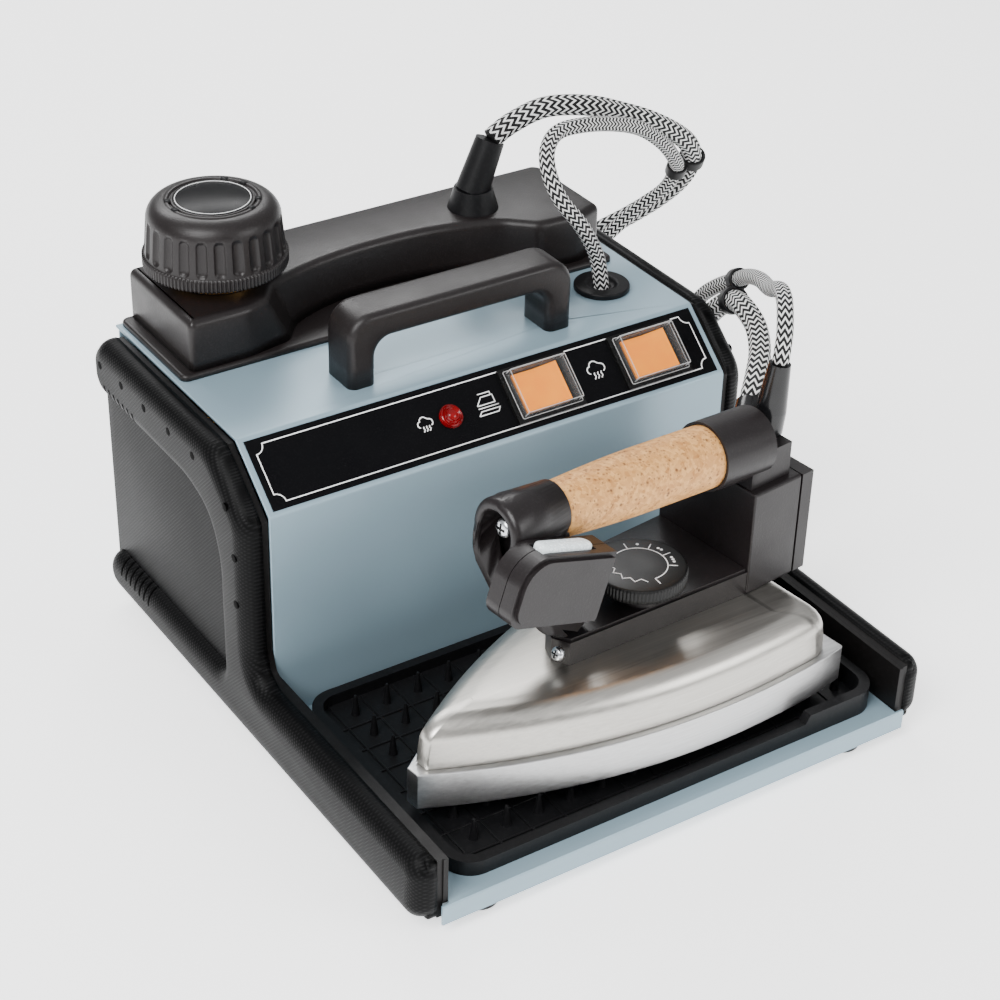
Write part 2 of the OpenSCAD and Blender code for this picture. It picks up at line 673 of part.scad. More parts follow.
module deck_plan(e) {
    polygon([[deck_u[0] + e, -8.5 + e], [box_u[1] - 3, -20 + e], [box_u[1] - 3, box_v[1] - e],
        [152, box_v[1] - 0.8 - e], [122, 36.5 - e], [98 + e / 2, 22 - e], [deck_u[0] + e, 8.5 - e],
        [deck_u[0] - 4 + e, 0]]);
}
module iron_skirt() {
    color([0.16, 0.15, 0.15]) on_iron() difference() {
        union() {
            translate([0, 0, deck_bottom + 0.05]) linear_extrude(deck_top - deck_bottom - 1.5)
                deck_plan(0);
            translate([0, 0, deck_top - 1.6]) linear_extrude(1.6) deck_plan(1.2);
            translate([dial_at[0], 0, deck_top - 0.1]) cylinder(r = 11.5, h = 6, $fn = 48);
        }
        translate([box_u[0] - gap, -60, deck_bottom - 1]) cube([60, 120, 40]);
        translate([0, 0, deck_bottom - 1]) linear_extrude(deck_top - deck_bottom - 2) deck_plan(3);
        translate([dial_at[0], 0, 30]) cylinder(r = 6.5, h = 60, $fn = 48);
    }
}

module iron_thermostat() {
    color([0.60, 0.55, 0.45]) on_iron() translate([dial_at[0], 0, 0]) {
        translate([0, 0, sole_t + 8.1]) cylinder(r = 13, h = 5, $fn = 48);
        translate([0, 0, sole_t + 13]) cylinder(r = 6, h = 14, $fn = 48);
        translate([0, 0, sole_t + 26]) cylinder(r = 3 - run, h = dial_at[1] - sole_t - 30, $fn = 48);
    }
}

module dial() {
    color([0.10, 0.10, 0.10]) on_iron() translate([dial_at[0], 0, dial_at[1] - dial_h]) difference() {
        union() {
            cylinder(r = dial_r, h = dial_h - 1, $fn = 96);
            translate([0, 0, dial_h - 1.1]) cylinder(r1 = dial_r, r2 = dial_r - 1, h = 1.1, $fn = 96);
            translate([0, 0, -3.2]) cylinder(r = 8, h = 3.3, $fn = 48);
        }
        for (a = [0:47]) rotate([0, 0, 7.5 * a]) translate([dial_r + 0.25, 0, -0.1])
            cylinder(r = 0.7, h = dial_h - 1.5, $fn = 16);
        translate([0, 0, -10]) cylinder(r = 3, h = 10 + dial_h - 3, $fn = 48);
    }
}

// Front post: a drum that holds the cork, and a horn down to the skirt, hollow in front
module front_post() {
    color([0.16, 0.15, 0.155]) difference() {
        union() {
            along_grip() translate([0, 0, -32]) cylinder(r1 = 15.5, r2 = 13, h = 31.9, $fn = 64);
            on_iron() along_y(-11, 11) polygon([[46, 128], [44, 112], [52, 92], [72, 66], [84, deck_top + 0.1],
                [104, deck_top + 0.1], [84, 84], [78, 112], [76, 122]]);
        }
        along_grip() translate([0, 0, -40]) cylinder(r = 10.5, h = 26, $fn = 48);
        on_iron() along_y(-7.5, 7.5) polygon([[30, 130], [30, 100], [60, 84], [62, 104], [60, 128]]);
        along_grip() translate([0, 0, -40]) cylinder(r = rod_r + 0.02, h = 60, $fn = 48);
    }
}

module cork_grip() {
    color([0.85, 0.66, 0.42]) along_grip() rotate_extrude($fn = 72) polygon(concat(
        [[rod_r + 0.1, 0.1], [12.9, 0.1]],
        [for (i = [1:9]) let (t = i / 10) [12.9 + (cork_r - 12.9) * sin(90 * min(1, t * 1.7)), grip_len * t]],
        [[cork_r - 0.2, grip_len - 0.1], [rod_r + 0.1, grip_len - 0.1]]));
}

// Steel tie rod through the posts and the cork, with its screw head in the front hollow
module grip_rod() {
    color("silver") along_grip() {
        translate([0, 0, -18.5]) cylinder(r = rod_r, h = grip_len + 26, $fn = 48);
        translate([0, 0, -20.5]) cylinder(r = 6.5, h = 2.5, $fn = 32);
    }
}

module rear_post() {
    color([0.16, 0.15, 0.155]) difference() {
        union() {
            along_grip() translate([0, 0, grip_len + 0.1]) cylinder(r = 16.8, h = 27, $fn = 64);
            along_grip() translate([0, 0, grip_len - 5]) ring(16.8, cork_r + 0.3, 5.2);
            on_iron() translate([191, -14, box_top + 0.05]) cube([25, 28, 18]);
        }
        along_grip() translate([0, 0, grip_len - 1]) cylinder(r = rod_r + 0.02, h = 15, $fn = 48);
    }
}

// Housing behind the deck that holds the terminals
module rear_box() {
    width = box_v[1] - box_v[0];
    high = box_top - deck_bottom;
    color([0.16, 0.15, 0.155]) on_iron() difference() {
        translate([box_u[0], box_v[0], deck_bottom + 0.3]) cube([box_u[1] - box_u[0], width, high - 0.3]);
        translate([box_u[0] + 3, box_v[0] + 3, deck_bottom - 1]) cube([40, width - 6, high - 3]);
    }
}

module rear_cover() {
    width = box_v[1] - box_v[0];
    color([0.15, 0.14, 0.145]) on_iron() difference() {
        translate([box_u[1] + 0.6, box_v[0], deck_bottom + 0.3]) cube([7.2, width, box_top - deck_bottom - 0.8]);
        for (w = [54, 90]) translate([box_u[1] + 5, 0, w]) rotate([0, 90, 0])
            cylinder(r = 4, h = 10, $fn = 32);
    }
}

// Outline of the thumb housing in the U-W plane
module thumb_plan(e) {
    r = 15 - e;
    translate(thumb_corner) rotate(button_tilt) {
        translate([-thumb_len + e + r, -thumb_h + e]) square([thumb_len - r - 2 * e, thumb_h - 2 * e]);
        translate([-thumb_len + e, -thumb_h + e + 8]) square([20, thumb_h - 2 * e - 8 - r]);
        translate([-thumb_len + e + r, -e - r]) circle(r, $fn = 64);
        translate([-thumb_len + e + 8, -thumb_h + e + 8]) circle(8, $fn = 64);
        translate([-thumb_len + e + 8, -thumb_h + e]) square([12, 12]);
    }
}
module button_slot(e) {
    translate(thumb_corner) rotate(button_tilt) translate([-26, 0])
        square([32 + 2 * e, 24], center = true);
}
module thumb_housing() {
    color([0.17, 0.16, 0.165]) on_iron() difference() {
        along_y(-24, -15.8) thumb_plan(0);
        along_y(-30, -18) thumb_plan(3);
        along_y(-28.6, -19.4) button_slot(0.3);
    }
    color([0.17, 0.16, 0.165]) on_iron() along_y(-15.9, -11.05)
        translate([56, 92]) square([16, 14]);
}
module thumb_cover() {
    color([0.18, 0.17, 0.175]) on_iron() difference() {
        union() {
            along_y(-32, -24.4) thumb_plan(0);
            along_y(-34, -31.9) thumb_plan(2);
        }
        along_y(-31, -20) thumb_plan(3);
        along_y(-28.6, -19.4) button_slot(0.3);
    }
}
module steam_button() {
    color([0.93, 0.95, 0.95]) on_iron() along_y(-28.3, -19.7)
        translate(thumb_corner) rotate(button_tilt) {
            translate([-42, -7]) square([32, 9]);
            translate([-30, -12.5]) square([8, 6]);
        }
}
module button_switch() {
    color([0.55, 0.10, 0.10]) on_iron() along_y(-28, -20)
        translate(thumb_corner) rotate(button_tilt) translate([-38, -29.5]) square([24, 12]);
}

// Long tapered sleeve of the cable, and the angled nozzle of the steam hose
module cable_boot() {
    color([0.06, 0.06, 0.06]) difference() {
        translate([93.2, -79.6, 147]) rotate([0, 7, 0]) {
            cylinder(r = 7.5, h = 13.1, $fn = 48);
            translate([0, 0, 13]) cylinder(r1 = 7.5, r2 = 5.2, h = 24, $fn = 48);
        }
        on_iron() translate([191, -20, box_top]) cube([40, 40, 18.1]);
    }
}
module steam_inlet() {
    color([0.08, 0.08, 0.08]) difference() {
        translate([84.5, -75, 150.8]) rotate([-41, 61.5, 0]) cylinder(r1 = 7.6, r2 = 7, h = 14, $fn = 48);
        along_grip() translate([0, 0, grip_len]) cylinder(r = 16.85, h = 27.15, $fn = 64);
        on_iron() translate([191, -20, box_top]) cube([25.05, 40, 18.1]);
        translate([93.2, -79.6, 147]) rotate([0, 7, 0]) cylinder(r = 7.55, h = 50, $fn = 48);
    }
}

// ---------------------------------------------------------------- hose and cable

// Two rubber clips that hold the cable to the hose
module hose_clips() {
    color([0.07, 0.07, 0.07]) {
        clip([215, 142, 173], [203, 140, 170], [0.38, 0.48, -0.79]);
        clip([149, 18, 158], [154, 22, 167], [-0.3, -0.85, 0.43]);
    }
}
// Figure-of-eight band: one eye round the hose at a, the other round the cable at b
module clip(a, b, along) {
    x = unit(b - a);
    z = unit(along - (along * x) * x);
    y = cross(z, x);
    span = norm(b - a);
    multmatrix([[x[0], y[0], z[0], a[0]], [x[1], y[1], z[1], a[1]], [x[2], y[2], z[2], a[2]]])
        translate([0, 0, -3.5]) difference() {
            union() {
                cylinder(r = hose_d / 2 + 1.8, h = 7, $fn = 48);
                translate([span, 0, 0]) cylinder(r = cable_d / 2 + 1.8, h = 7, $fn = 48);
            }
            translate([0, 0, -1]) cylinder(r = hose_d / 2 + 0.1, h = 9, $fn = 48);
            translate([span, 0, -1]) cylinder(r = cable_d / 2 + 0.1, h = 9, $fn = 48);
        }
}

module steam_hose_upper() { color([0.75, 0.75, 0.75]) tube(hose_upper, hose_d, 10); }
module steam_hose_lower() { color([0.75, 0.75, 0.75]) tube(hose_lower, hose_d, 10); }
module iron_cable_upper() { color([0.70, 0.70, 0.70]) tube(cable_upper, cable_d, 8); }
module iron_cable_lower() { color([0.70, 0.70, 0.70]) tube(cable_lower, cable_d, 8); }

module coil(r, d) {
    translate([coil_at[0], coil_at[1], 0]) ring(r + d / 2, r - d / 2, d + coil_pitch * coil_turns);
}
module steam_hose_coil() { color([0.75, 0.75, 0.75]) coil(hose_coil_r, hose_d); }
module iron_cable_coil() { color([0.70, 0.70, 0.70]) coil(cable_coil_r, cable_d); }

// Shift that puts the middle of the footprint over the origin
module centred() translate([0, -centre_y, 0]) children();

centred() base_tray();
centred() body_shell();
centred() back_panel();
centred() side_frame_left();
centred() side_frame_right();
centred() side_cover_left();
centred() side_cover_right();
centred() control_overlay();
centred() switch_body_left();
centred() switch_body_right();
centred() rocker_left();
centred() rocker_right();
centred() splash_cover_left();
centred() splash_cover_right();
centred() lamp_holder();
centred() lamp_lens();
centred() carry_handle();
centred() handle_screws();
centred() cap_housing();
centred() filler_neck();
centred() boiler_tank();
centred() boiler_element();
centred() steam_valve();
centred() steam_pipe();
centred() pressure_switch();
centred() terminal_block();
centred() hose_gland();
centred() cable_grommet();
centred() mains_gland();
centred() rest_mat();
centred() feet();
centred() foot_screws();
centred() cap_plug();
centred() cap_shell();
centred() cap_gasket();
centred() soleplate();
centred() sole_element();
centred() iron_hood();
centred() iron_skirt();
centred() iron_thermostat();
centred() dial();
centred() front_post();
centred() cork_grip();
centred() grip_rod();
centred() rear_post();
centred() rear_box();
centred() rear_cover();
centred() thumb_housing();
centred() thumb_cover();
centred() steam_button();
centred() button_switch();
centred() cable_boot();
centred() steam_inlet();
centred() hose_clips();
centred() steam_hose_upper();
centred() steam_hose_coil();
centred() steam_hose_lower();
centred() iron_cable_upper();
centred() iron_cable_coil();
centred() iron_cable_lower();
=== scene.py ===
import math

import bmesh
import bpy
import numpy as np
from mathutils import Matrix, Vector


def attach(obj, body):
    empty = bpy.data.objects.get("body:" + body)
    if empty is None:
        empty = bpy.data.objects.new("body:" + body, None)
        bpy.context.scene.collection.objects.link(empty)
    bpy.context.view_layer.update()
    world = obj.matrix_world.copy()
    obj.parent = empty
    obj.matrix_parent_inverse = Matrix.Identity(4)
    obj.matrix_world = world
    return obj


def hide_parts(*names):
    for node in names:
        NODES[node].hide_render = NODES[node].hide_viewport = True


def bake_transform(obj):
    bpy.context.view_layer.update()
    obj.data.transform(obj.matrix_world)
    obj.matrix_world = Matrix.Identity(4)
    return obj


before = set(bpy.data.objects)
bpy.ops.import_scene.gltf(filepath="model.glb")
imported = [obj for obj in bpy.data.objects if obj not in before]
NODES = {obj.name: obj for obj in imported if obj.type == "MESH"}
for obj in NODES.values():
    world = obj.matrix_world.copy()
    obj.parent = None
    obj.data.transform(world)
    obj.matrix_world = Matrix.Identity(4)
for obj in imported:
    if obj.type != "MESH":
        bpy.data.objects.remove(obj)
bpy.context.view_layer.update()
MM = 0.001

# Sizes that part.scad uses too, in millimetres. The machine is drawn with its case's middle at
# Y = 0, and everything is then shifted back by CENTRE_Y, the middle of its footprint.
CENTRE_Y = 3.4
FACE_Y = -2
FRONT_TOP = 131
SLOPE_RUN = 31
BODY_TOP = 157
SLOPE_DEG = math.degrees(math.atan2(BODY_TOP - FRONT_TOP, SLOPE_RUN))
SLOPE_LEN = math.hypot(BODY_TOP - FRONT_TOP, SLOPE_RUN)
SWITCH_AT = (28, 93)
SWITCH_S = 20.3
LAMP_AT = -23.8
IRON_AT = (-118.4, -104.7, 30.5)
IRON_YAW = 6.7
CAP_AT = (-87.5, 127.3)
CAP_BASE = 194
CAP_R = 35.5
SOLE_L = 222.6
SOLE_HALF_W = 56
SOLE_T = 19.5
HOOD_TOP = 44
DIAL_AT = (135, 75)
DIAL_R = 22.8
DIAL_H = 7.5
HOSE_D = 11
CABLE_D = 8
GRIP_FRONT = (78, 127)
GRIP_REAR = (176, 119.2)
THUMB_CORNER = (89, 118.5)
BUTTON_TILT = 19
PIN_PITCH = 17.5
COIL_AT = (60, 227)
COIL_TURNS = 2.625
COIL_TOP = 35
HOSE_COIL_R = 55
CABLE_COIL_R = 65

# The photograph's view: metres before the shift by CENTRE_Y, and azimuth, elevation and roll
CAMERA_AT = (-0.5305, -0.7814, 0.7076)
CAMERA_TURN = (-34.02, 32.90, 1.6)
CAMERA_LENS = 82.99
CAMERA_SENSOR = 36

HOSE_UPPER = [
    (72, 128, 222), (84, 128, 228), (104, 127.5, 232.5), (129.5, 126.5, 228.5), (153, 129, 219),
    (178, 129.5, 207), (202.5, 133.5, 190), (215, 142, 173), (218, 153.5, 155.5),
    (212, 165.5, 140), (198.5, 176, 127), (184.5, 181.5, 119.5), (167.5, 182, 112),
    (153, 181.5, 100), (142, 179.5, 84), (131, 177.5, 68), (117, 175, 53), (98, 172, 43),
    (79, 172, 37), (60, 172, 35)]
HOSE_LOWER = [
    (99, 266, 5.8), (117, 248, 5.8), (133, 232, 5.8), (145, 215, 5.8), (151, 196, 5.8),
    (152, 174, 5.8), (152, 150, 5.8), (152, 126, 7), (152, 103, 14), (152, 85, 28),
    (152, 73, 48), (152, 65, 72), (152, 58, 98), (152, 49.5, 123), (153, 36.5, 143),
    (149, 18, 158), (140.5, -1.5, 164.5), (133, -20, 164.5), (121, -38, 163),
    (107.5, -52.5, 161), (97, -62.5, 157.6), (94.2, -65.3, 156.1)]
CABLE_UPPER = [
    (100, 65, 157), (96, 65, 176), (84.5, 62.5, 196), (73, 66, 212.5), (70.5, 73.5, 224.5),
    (75.5, 83, 232.5), (87.5, 91.5, 236), (107.5, 98, 233), (134, 108, 224), (158, 116, 213),
    (179, 123.5, 197.5), (195, 132, 181), (203, 140, 170), (204.5, 151.5, 152.5),
    (196, 164, 137.5), (184.5, 171, 123.5), (167.5, 172, 112), (151.5, 171, 97.5),
    (139, 169, 82), (127, 167, 66), (111, 163, 52), (94, 162, 42), (76, 162, 38), (60, 162, 35)]
CABLE_LOWER = [
    (106, 273, 5.5), (124, 255, 4.8), (142.5, 237, 4.3), (155.7, 216.5, 4.3), (161, 195, 4.3),
    (162, 172, 4.3), (162, 148, 4.3), (162, 126, 7), (162, 106, 17), (162, 92, 35),
    (162, 83, 58), (162, 76, 84), (162, 70, 110), (162, 62, 134), (159, 45, 151), (154, 22, 167),
    (147, 5, 178), (138, -14, 187), (128, -33, 193.5), (118.5, -51, 203.5), (111, -63, 206),
    (105, -71.5, 203), (101, -77, 196.5), (98.2, -79.6, 189), (97.8, -79.6, 184.8)]


# ---------------------------------------------------------------- camera

def make_camera():
    """A camera behind CAMERA_TURN, rolled about its own axis."""
    a, e, r = (math.radians(x) for x in CAMERA_TURN)
    back = Vector((math.sin(a) * math.cos(e), -math.cos(a) * math.cos(e), math.sin(e)))
    right = Vector((math.cos(a), math.sin(a), 0))
    up = back.cross(right)
    columns = (right * math.cos(r) + up * math.sin(r), up * math.cos(r) - right * math.sin(r),
               back)
    x, y, z = CAMERA_AT
    data = bpy.data.cameras.new("camera")
    data.lens = CAMERA_LENS
    data.sensor_width = CAMERA_SENSOR
    camera = bpy.data.objects.new("camera", data)
    bpy.context.scene.collection.objects.link(camera)
    camera.matrix_world = (Matrix.Translation((x, y - CENTRE_Y * MM, z))
                           @ Matrix(columns).transposed().to_4x4())
    bpy.context.scene.camera = camera


make_camera()


# ---------------------------------------------------------------- node materials

class Nodes:
    """A material's node tree, with short ways to add what the finishes share."""

    def __init__(self, name):
        self.material = bpy.data.materials.new(name)
        self.material.use_nodes = True
        self.tree = self.material.node_tree
        self.shader = next(n for n in self.tree.nodes if n.type == "BSDF_PRINCIPLED")

    def add(self, kind, links=None, **settings):
        node = self.tree.nodes.new(kind)
        for key, value in settings.items():
            setattr(node, key, value)
        for socket, value in (links or {}).items():
            self.put(node.inputs[socket], value)
        return node

    def put(self, socket, value):
        if isinstance(value, bpy.types.NodeSocket):
            self.tree.links.new(value, socket)
        elif isinstance(value, (tuple, list)) and len(value) == 3 and socket.type == "RGBA":
            socket.default_value = (*value, 1)
        else:
            socket.default_value = value

    def math(self, operation, a, b=0.0, c=0.0):
        node = self.add("ShaderNodeMath", operation=operation)
        for socket, value in zip(node.inputs, (a, b, c)):
            self.put(socket, value)
        return node.outputs[0]

    def place(self, scale=(1, 1, 1), turn=(0, 0, 0)):
        coord = self.add("ShaderNodeTexCoord")
        return self.add("ShaderNodeMapping", {
            "Vector": coord.outputs["Object"], "Scale": scale,
            "Rotation": tuple(math.radians(x) for x in turn)}).outputs[0]

    def noise(self, vector, scale, detail=3.0, rough=0.55):
        return self.add("ShaderNodeTexNoise", {
            "Vector": vector, "Scale": scale, "Detail": detail, "Roughness": rough}).outputs[0]

    def ramp(self, value, low, high, start=0.0, end=1.0):
        return self.add("ShaderNodeMapRange", {
            "Value": value, "From Min": low, "From Max": high,
            "To Min": start, "To Max": end}).outputs[0]

    def mix(self, factor, a, b):
        node = self.add("ShaderNodeMix", data_type="RGBA")
        for index, value in ((0, factor), (6, a), (7, b)):
            self.put(node.inputs[index], value)
        return node.outputs[2]

    def bump(self, height, strength, distance):
        return self.add("ShaderNodeBump", {
            "Height": height, "Strength": strength, "Distance": distance}).outputs[0]

    def finish(self, **sockets):
        for name, value in sockets.items():
            self.put(self.shader.inputs[name.replace("_", " ")], value)
        return self.material


def moulded(name, base, rough, grain=900, strength=0.35, vary=0.25, specular=0.4):
    """Moulded plastic or rubber: fine grain with lighter specks that are painted glints, slow
    colour drift and scuffed roughness.
    """
    n = Nodes(name)
    at = n.place()
    drift = n.noise(at, 14, 4)
    fine = n.noise(at, grain, 2)
    tint = n.mix(n.ramp(drift, 0.3, 0.7), base, tuple(c * (1 + vary) for c in base))
    # lighter specks where the fine grain is high: painted glints on the grain
    glint_speck = n.mix(n.ramp(fine, 0.52, 0.72, 0, 0.5), tint, tuple(c * 2.0 + 0.004 for c in base))
    return n.finish(
        Base_Color=glint_speck, Specular_IOR_Level=specular,
        Roughness=n.ramp(n.noise(at, 60, 5), 0.3, 0.7, rough - 0.04, rough + 0.06),
        Normal=n.bump(fine, strength, 0.00015))


def painted(name, base, rough):
    """Powder-coated sheet: faint orange peel and slight cloudiness."""
    n = Nodes(name)
    at = n.place()
    peel = n.noise(at, 420, 2)
    cloud = n.noise(at, 7, 3)
    tint = n.mix(n.ramp(cloud, 0.3, 0.7), tuple(c * 0.94 for c in base), base)
    return n.finish(
        Base_Color=tint, Metallic=0.2,
        Roughness=n.ramp(n.noise(at, 35, 4), 0.3, 0.7, rough - 0.03, rough + 0.04),
        Normal=n.bump(peel, 0.10, 0.0002))


def brushed(name, base, rough, turn=0.0):
    """Metal with fine lines along one direction, and a slow, slight change of gloss."""
    n = Nodes(name)
    lines = n.noise(n.place(scale=(6, 900, 900), turn=(0, 0, turn)), 1.0, 4, 0.6)
    smear = n.noise(n.place(scale=(1, 2, 2)), 9, 2)
    tint = n.mix(n.ramp(lines, 0.3, 0.7), tuple(c * 0.82 for c in base), base)
    gloss = n.math("ADD", n.math("MULTIPLY", lines, 0.75), n.math("MULTIPLY", smear, 0.25))
    return n.finish(
        Base_Color=tint, Metallic=1.0,
        Roughness=n.ramp(gloss, 0.3, 0.7, rough - 0.05, rough + 0.07),
        Normal=n.bump(lines, 0.15, 0.00006))


def turned(name, base, rough):
    """Plain machined or plated metal with handling marks."""
    n = Nodes(name)
    at = n.place()
    marks = n.noise(at, 160, 6, 0.7)
    tint = n.mix(n.ramp(n.noise(at, 40, 3), 0.3, 0.7), tuple(c * 0.85 for c in base), base)
    return n.finish(Base_Color=tint, Metallic=1.0,
                    Roughness=n.ramp(marks, 0.3, 0.7, rough - 0.08, rough + 0.12),
                    Normal=n.bump(marks, 0.08, 0.0001))


def diagonal_skin():
    """Black sheet with a fine crossed diagonal weave, as on the side covers, painted darker in its
    grooves as shade and lighter on its ridges as highlight.
    """
    n = Nodes("side_skin")
    weave = []
    for turn in (45, -45):
        at = n.place(turn=(turn, 0, 0))
        weave.append(n.add("ShaderNodeTexWave", {"Vector": at, "Scale": 210.0, "Distortion": 0.0},
                           bands_direction="Y").outputs[1])
    height = n.math("MULTIPLY", weave[0], weave[1])
    drift = n.noise(n.place(), 12, 3)
    # colour by weave height: painted shade in the grooves, painted highlight on the ridges
    base = n.mix(height, (0.0006, 0.0006, 0.0007), (0.0085, 0.0085, 0.009))
    worn = n.ramp(drift, 0.3, 0.7, 0, 0.3)
    return n.finish(Base_Color=n.mix(worn, base, (0.003, 0.003, 0.0033)),
                    Specular_IOR_Level=0.08, Roughness=n.ramp(drift, 0.3, 0.7, 0.42, 0.50),
                    Normal=n.bump(height, 0.45, 0.00025))


def cork_skin():
    """Tan cork: granules in several browns, dark specks and small pits."""
    n = Nodes("cork")
    at = n.place()
    wobble = n.add("ShaderNodeVectorMath", {
        0: at, 1: n.add("ShaderNodeVectorMath", {
            0: n.add("ShaderNodeTexNoise", {"Vector": at, "Scale": 350.0}).outputs[1],
            3: 0.0012}, operation="SCALE").outputs[0]}, operation="ADD").outputs[0]

    def granules(scale, share, low, high):
        """Tone of each granule, and a dark spot in the middle of some of them."""
        cells = n.add("ShaderNodeTexVoronoi", {"Vector": wobble, "Scale": scale})
        tones = n.add("ShaderNodeSeparateColor", {0: cells.outputs[1]})
        spot = n.math("MULTIPLY", n.ramp(cells.outputs[0], low, high, 1, 0),
                      n.ramp(tones.outputs[1], 1 - share, 1.05 - share))
        return tones.outputs[0], spot

    tone, fine = granules(620, 0.35, 0.15, 0.45)
    patch, coarse = granules(330, 0.30, 0.12, 0.34)
    dark = n.math("MAXIMUM", coarse, n.math("MULTIPLY", fine, 0.8))
    tan = n.mix(n.math("ADD", n.math("MULTIPLY", tone, 0.6), n.math("MULTIPLY", patch, 0.4)),
                (0.42, 0.18, 0.048), (0.74, 0.40, 0.14))
    colour = n.mix(n.math("MULTIPLY", dark, 0.85), tan, (0.11, 0.038, 0.012))
    return n.finish(Base_Color=colour, Roughness=0.55, Specular_IOR_Level=0.35,
                    Normal=n.bump(n.math("SUBTRACT", n.noise(at, 500, 3), dark), 0.5, 0.0003))


def braid_skin(name, pitch, teeth):
    """Black and white zigzag braid; the tube's map gives metres along and turns round it."""
    n = Nodes(name)
    where = n.add("ShaderNodeUVMap", uv_map="braid").outputs[0]
    split = n.add("ShaderNodeSeparateXYZ", {0: where})
    along = n.math("DIVIDE", split.outputs[0], pitch)
    steps = n.math("MULTIPLY", split.outputs[1], teeth)
    zigzag = n.math("MULTIPLY", n.math("PINGPONG", steps, 0.5), 1.5)
    phase = n.math("FRACT", n.math("ADD", along, zigzag))
    light = n.math("MULTIPLY", n.ramp(phase, 0.53, 0.59), n.ramp(phase, 0.98, 0.92))
    yarn = n.math("PINGPONG", n.math("MULTIPLY", phase, 2.0), 0.5)
    threads = n.math("PINGPONG", n.math("MULTIPLY", split.outputs[1], teeth * 6), 0.5)
    fuzz = n.noise(n.place(), 2600, 3)
    black = n.mix(fuzz, (0.002, 0.002, 0.002), (0.012, 0.012, 0.013))
    pale = n.mix(fuzz, (0.62, 0.62, 0.61), (0.94, 0.94, 0.93))
    height = n.math("ADD", n.math("MULTIPLY", yarn, 1.2), n.math("MULTIPLY", threads, 0.5))
    return n.finish(Base_Color=n.mix(light, black, pale), Roughness=0.8, Specular_IOR_Level=0.25,
                    Normal=n.bump(height, 0.7, 0.0005))


def clear_skin(name="clear_cover", base=0.25, low=0.04, high=0.5):
    """Thin clear plastic: nearly unseen face on, with a painted whitish sheen that grows towards
    its edges.
    """
    n = Nodes(name)
    haze = n.noise(n.place(), 90, 3)
    facing = n.add("ShaderNodeLayerWeight", {"Blend": 0.35}).outputs["Facing"]
    return n.finish(Base_Color=(base, base, base), Specular_IOR_Level=0.2,
                    # more opaque towards grazing angles: a painted sheen of the grey base
                    Alpha=n.ramp(facing, 0.25, 0.95, low, high),
                    Roughness=n.ramp(haze, 0.3, 0.7, 0.04, 0.10),
                    Normal=n.bump(haze, 0.05, 0.0002))


def glowing(name, base, deep, rough, painted_glow=0.0):
    """Translucent coloured plastic: deeper colour in patches, and a faint painted glow of the deep
    colour where the last argument is above zero.
    """
    n = Nodes(name)
    at = n.place()
    drift = n.noise(at, 120, 3)
    return n.finish(Base_Color=n.mix(n.ramp(drift, 0.35, 0.65), base, deep), Specular_IOR_Level=0.3,
                    Roughness=n.ramp(drift, 0.3, 0.7, rough - 0.04, rough + 0.06),
                    # emission of the deep colour: a painted glow
                    Emission_Color=deep, Emission_Strength=painted_glow,
                    Normal=n.bump(n.noise(at, 700, 2), 0.05, 0.0001))


# Base colour, roughness, and what differs from moulded()'s usual grain and gloss
MOULDED = {
    "frame_black": ((0.004, 0.0035, 0.0035), 0.40, dict(grain=500, strength=0.08, specular=0.15)),
    "overlay_black": ((0.0015, 0.0015, 0.002), 0.30,
                      dict(grain=1400, strength=0.06, specular=0.08)),
    "overlay_white": ((0.85, 0.85, 0.85), 0.45, dict(grain=1400, strength=0.05, vary=0.02)),
    "switch_black": ((0.003, 0.003, 0.003), 0.25, dict(strength=0.06, specular=0.25)),
    # near black: painted shade inside the side covers' holes and vent slots
    "hole_black": ((0.0004, 0.0004, 0.0004), 0.6, dict(strength=0.06, specular=0.02)),
    "moulded_black": ((0.008, 0.0062, 0.0062), 0.38, dict(grain=1100, strength=0.5, specular=0.3)),
    "switch_grey": ((0.10, 0.10, 0.11), 0.45, {}),
    "ceramic": ((0.70, 0.69, 0.64), 0.5, {}),
    "soft_rubber": ((0.0035, 0.0035, 0.004), 0.44, dict(grain=700, strength=0.25, specular=0.2)),
    "gasket_rubber": ((0.30, 0.04, 0.03), 0.55, {}),
    "iron_black": ((0.008, 0.0062, 0.0065), 0.36, dict(grain=1000, specular=0.3)),
    "dial_black": ((0.003, 0.003, 0.003), 0.38, dict(strength=0.1, specular=0.25)),
    "button_white": ((0.76, 0.83, 0.85), 0.28, dict(strength=0.05, vary=0.03)),
    "boot_black": ((0.004, 0.004, 0.0045), 0.20, dict(grain=500, strength=0.05)),
}
TURNED = {
    "brass": ((0.62, 0.36, 0.12), 0.30),
    "boiler_steel": ((0.52, 0.52, 0.53), 0.38),
    "copper": ((0.62, 0.32, 0.20), 0.35),
    "zinc_screw": ((0.66, 0.68, 0.70), 0.22),
}
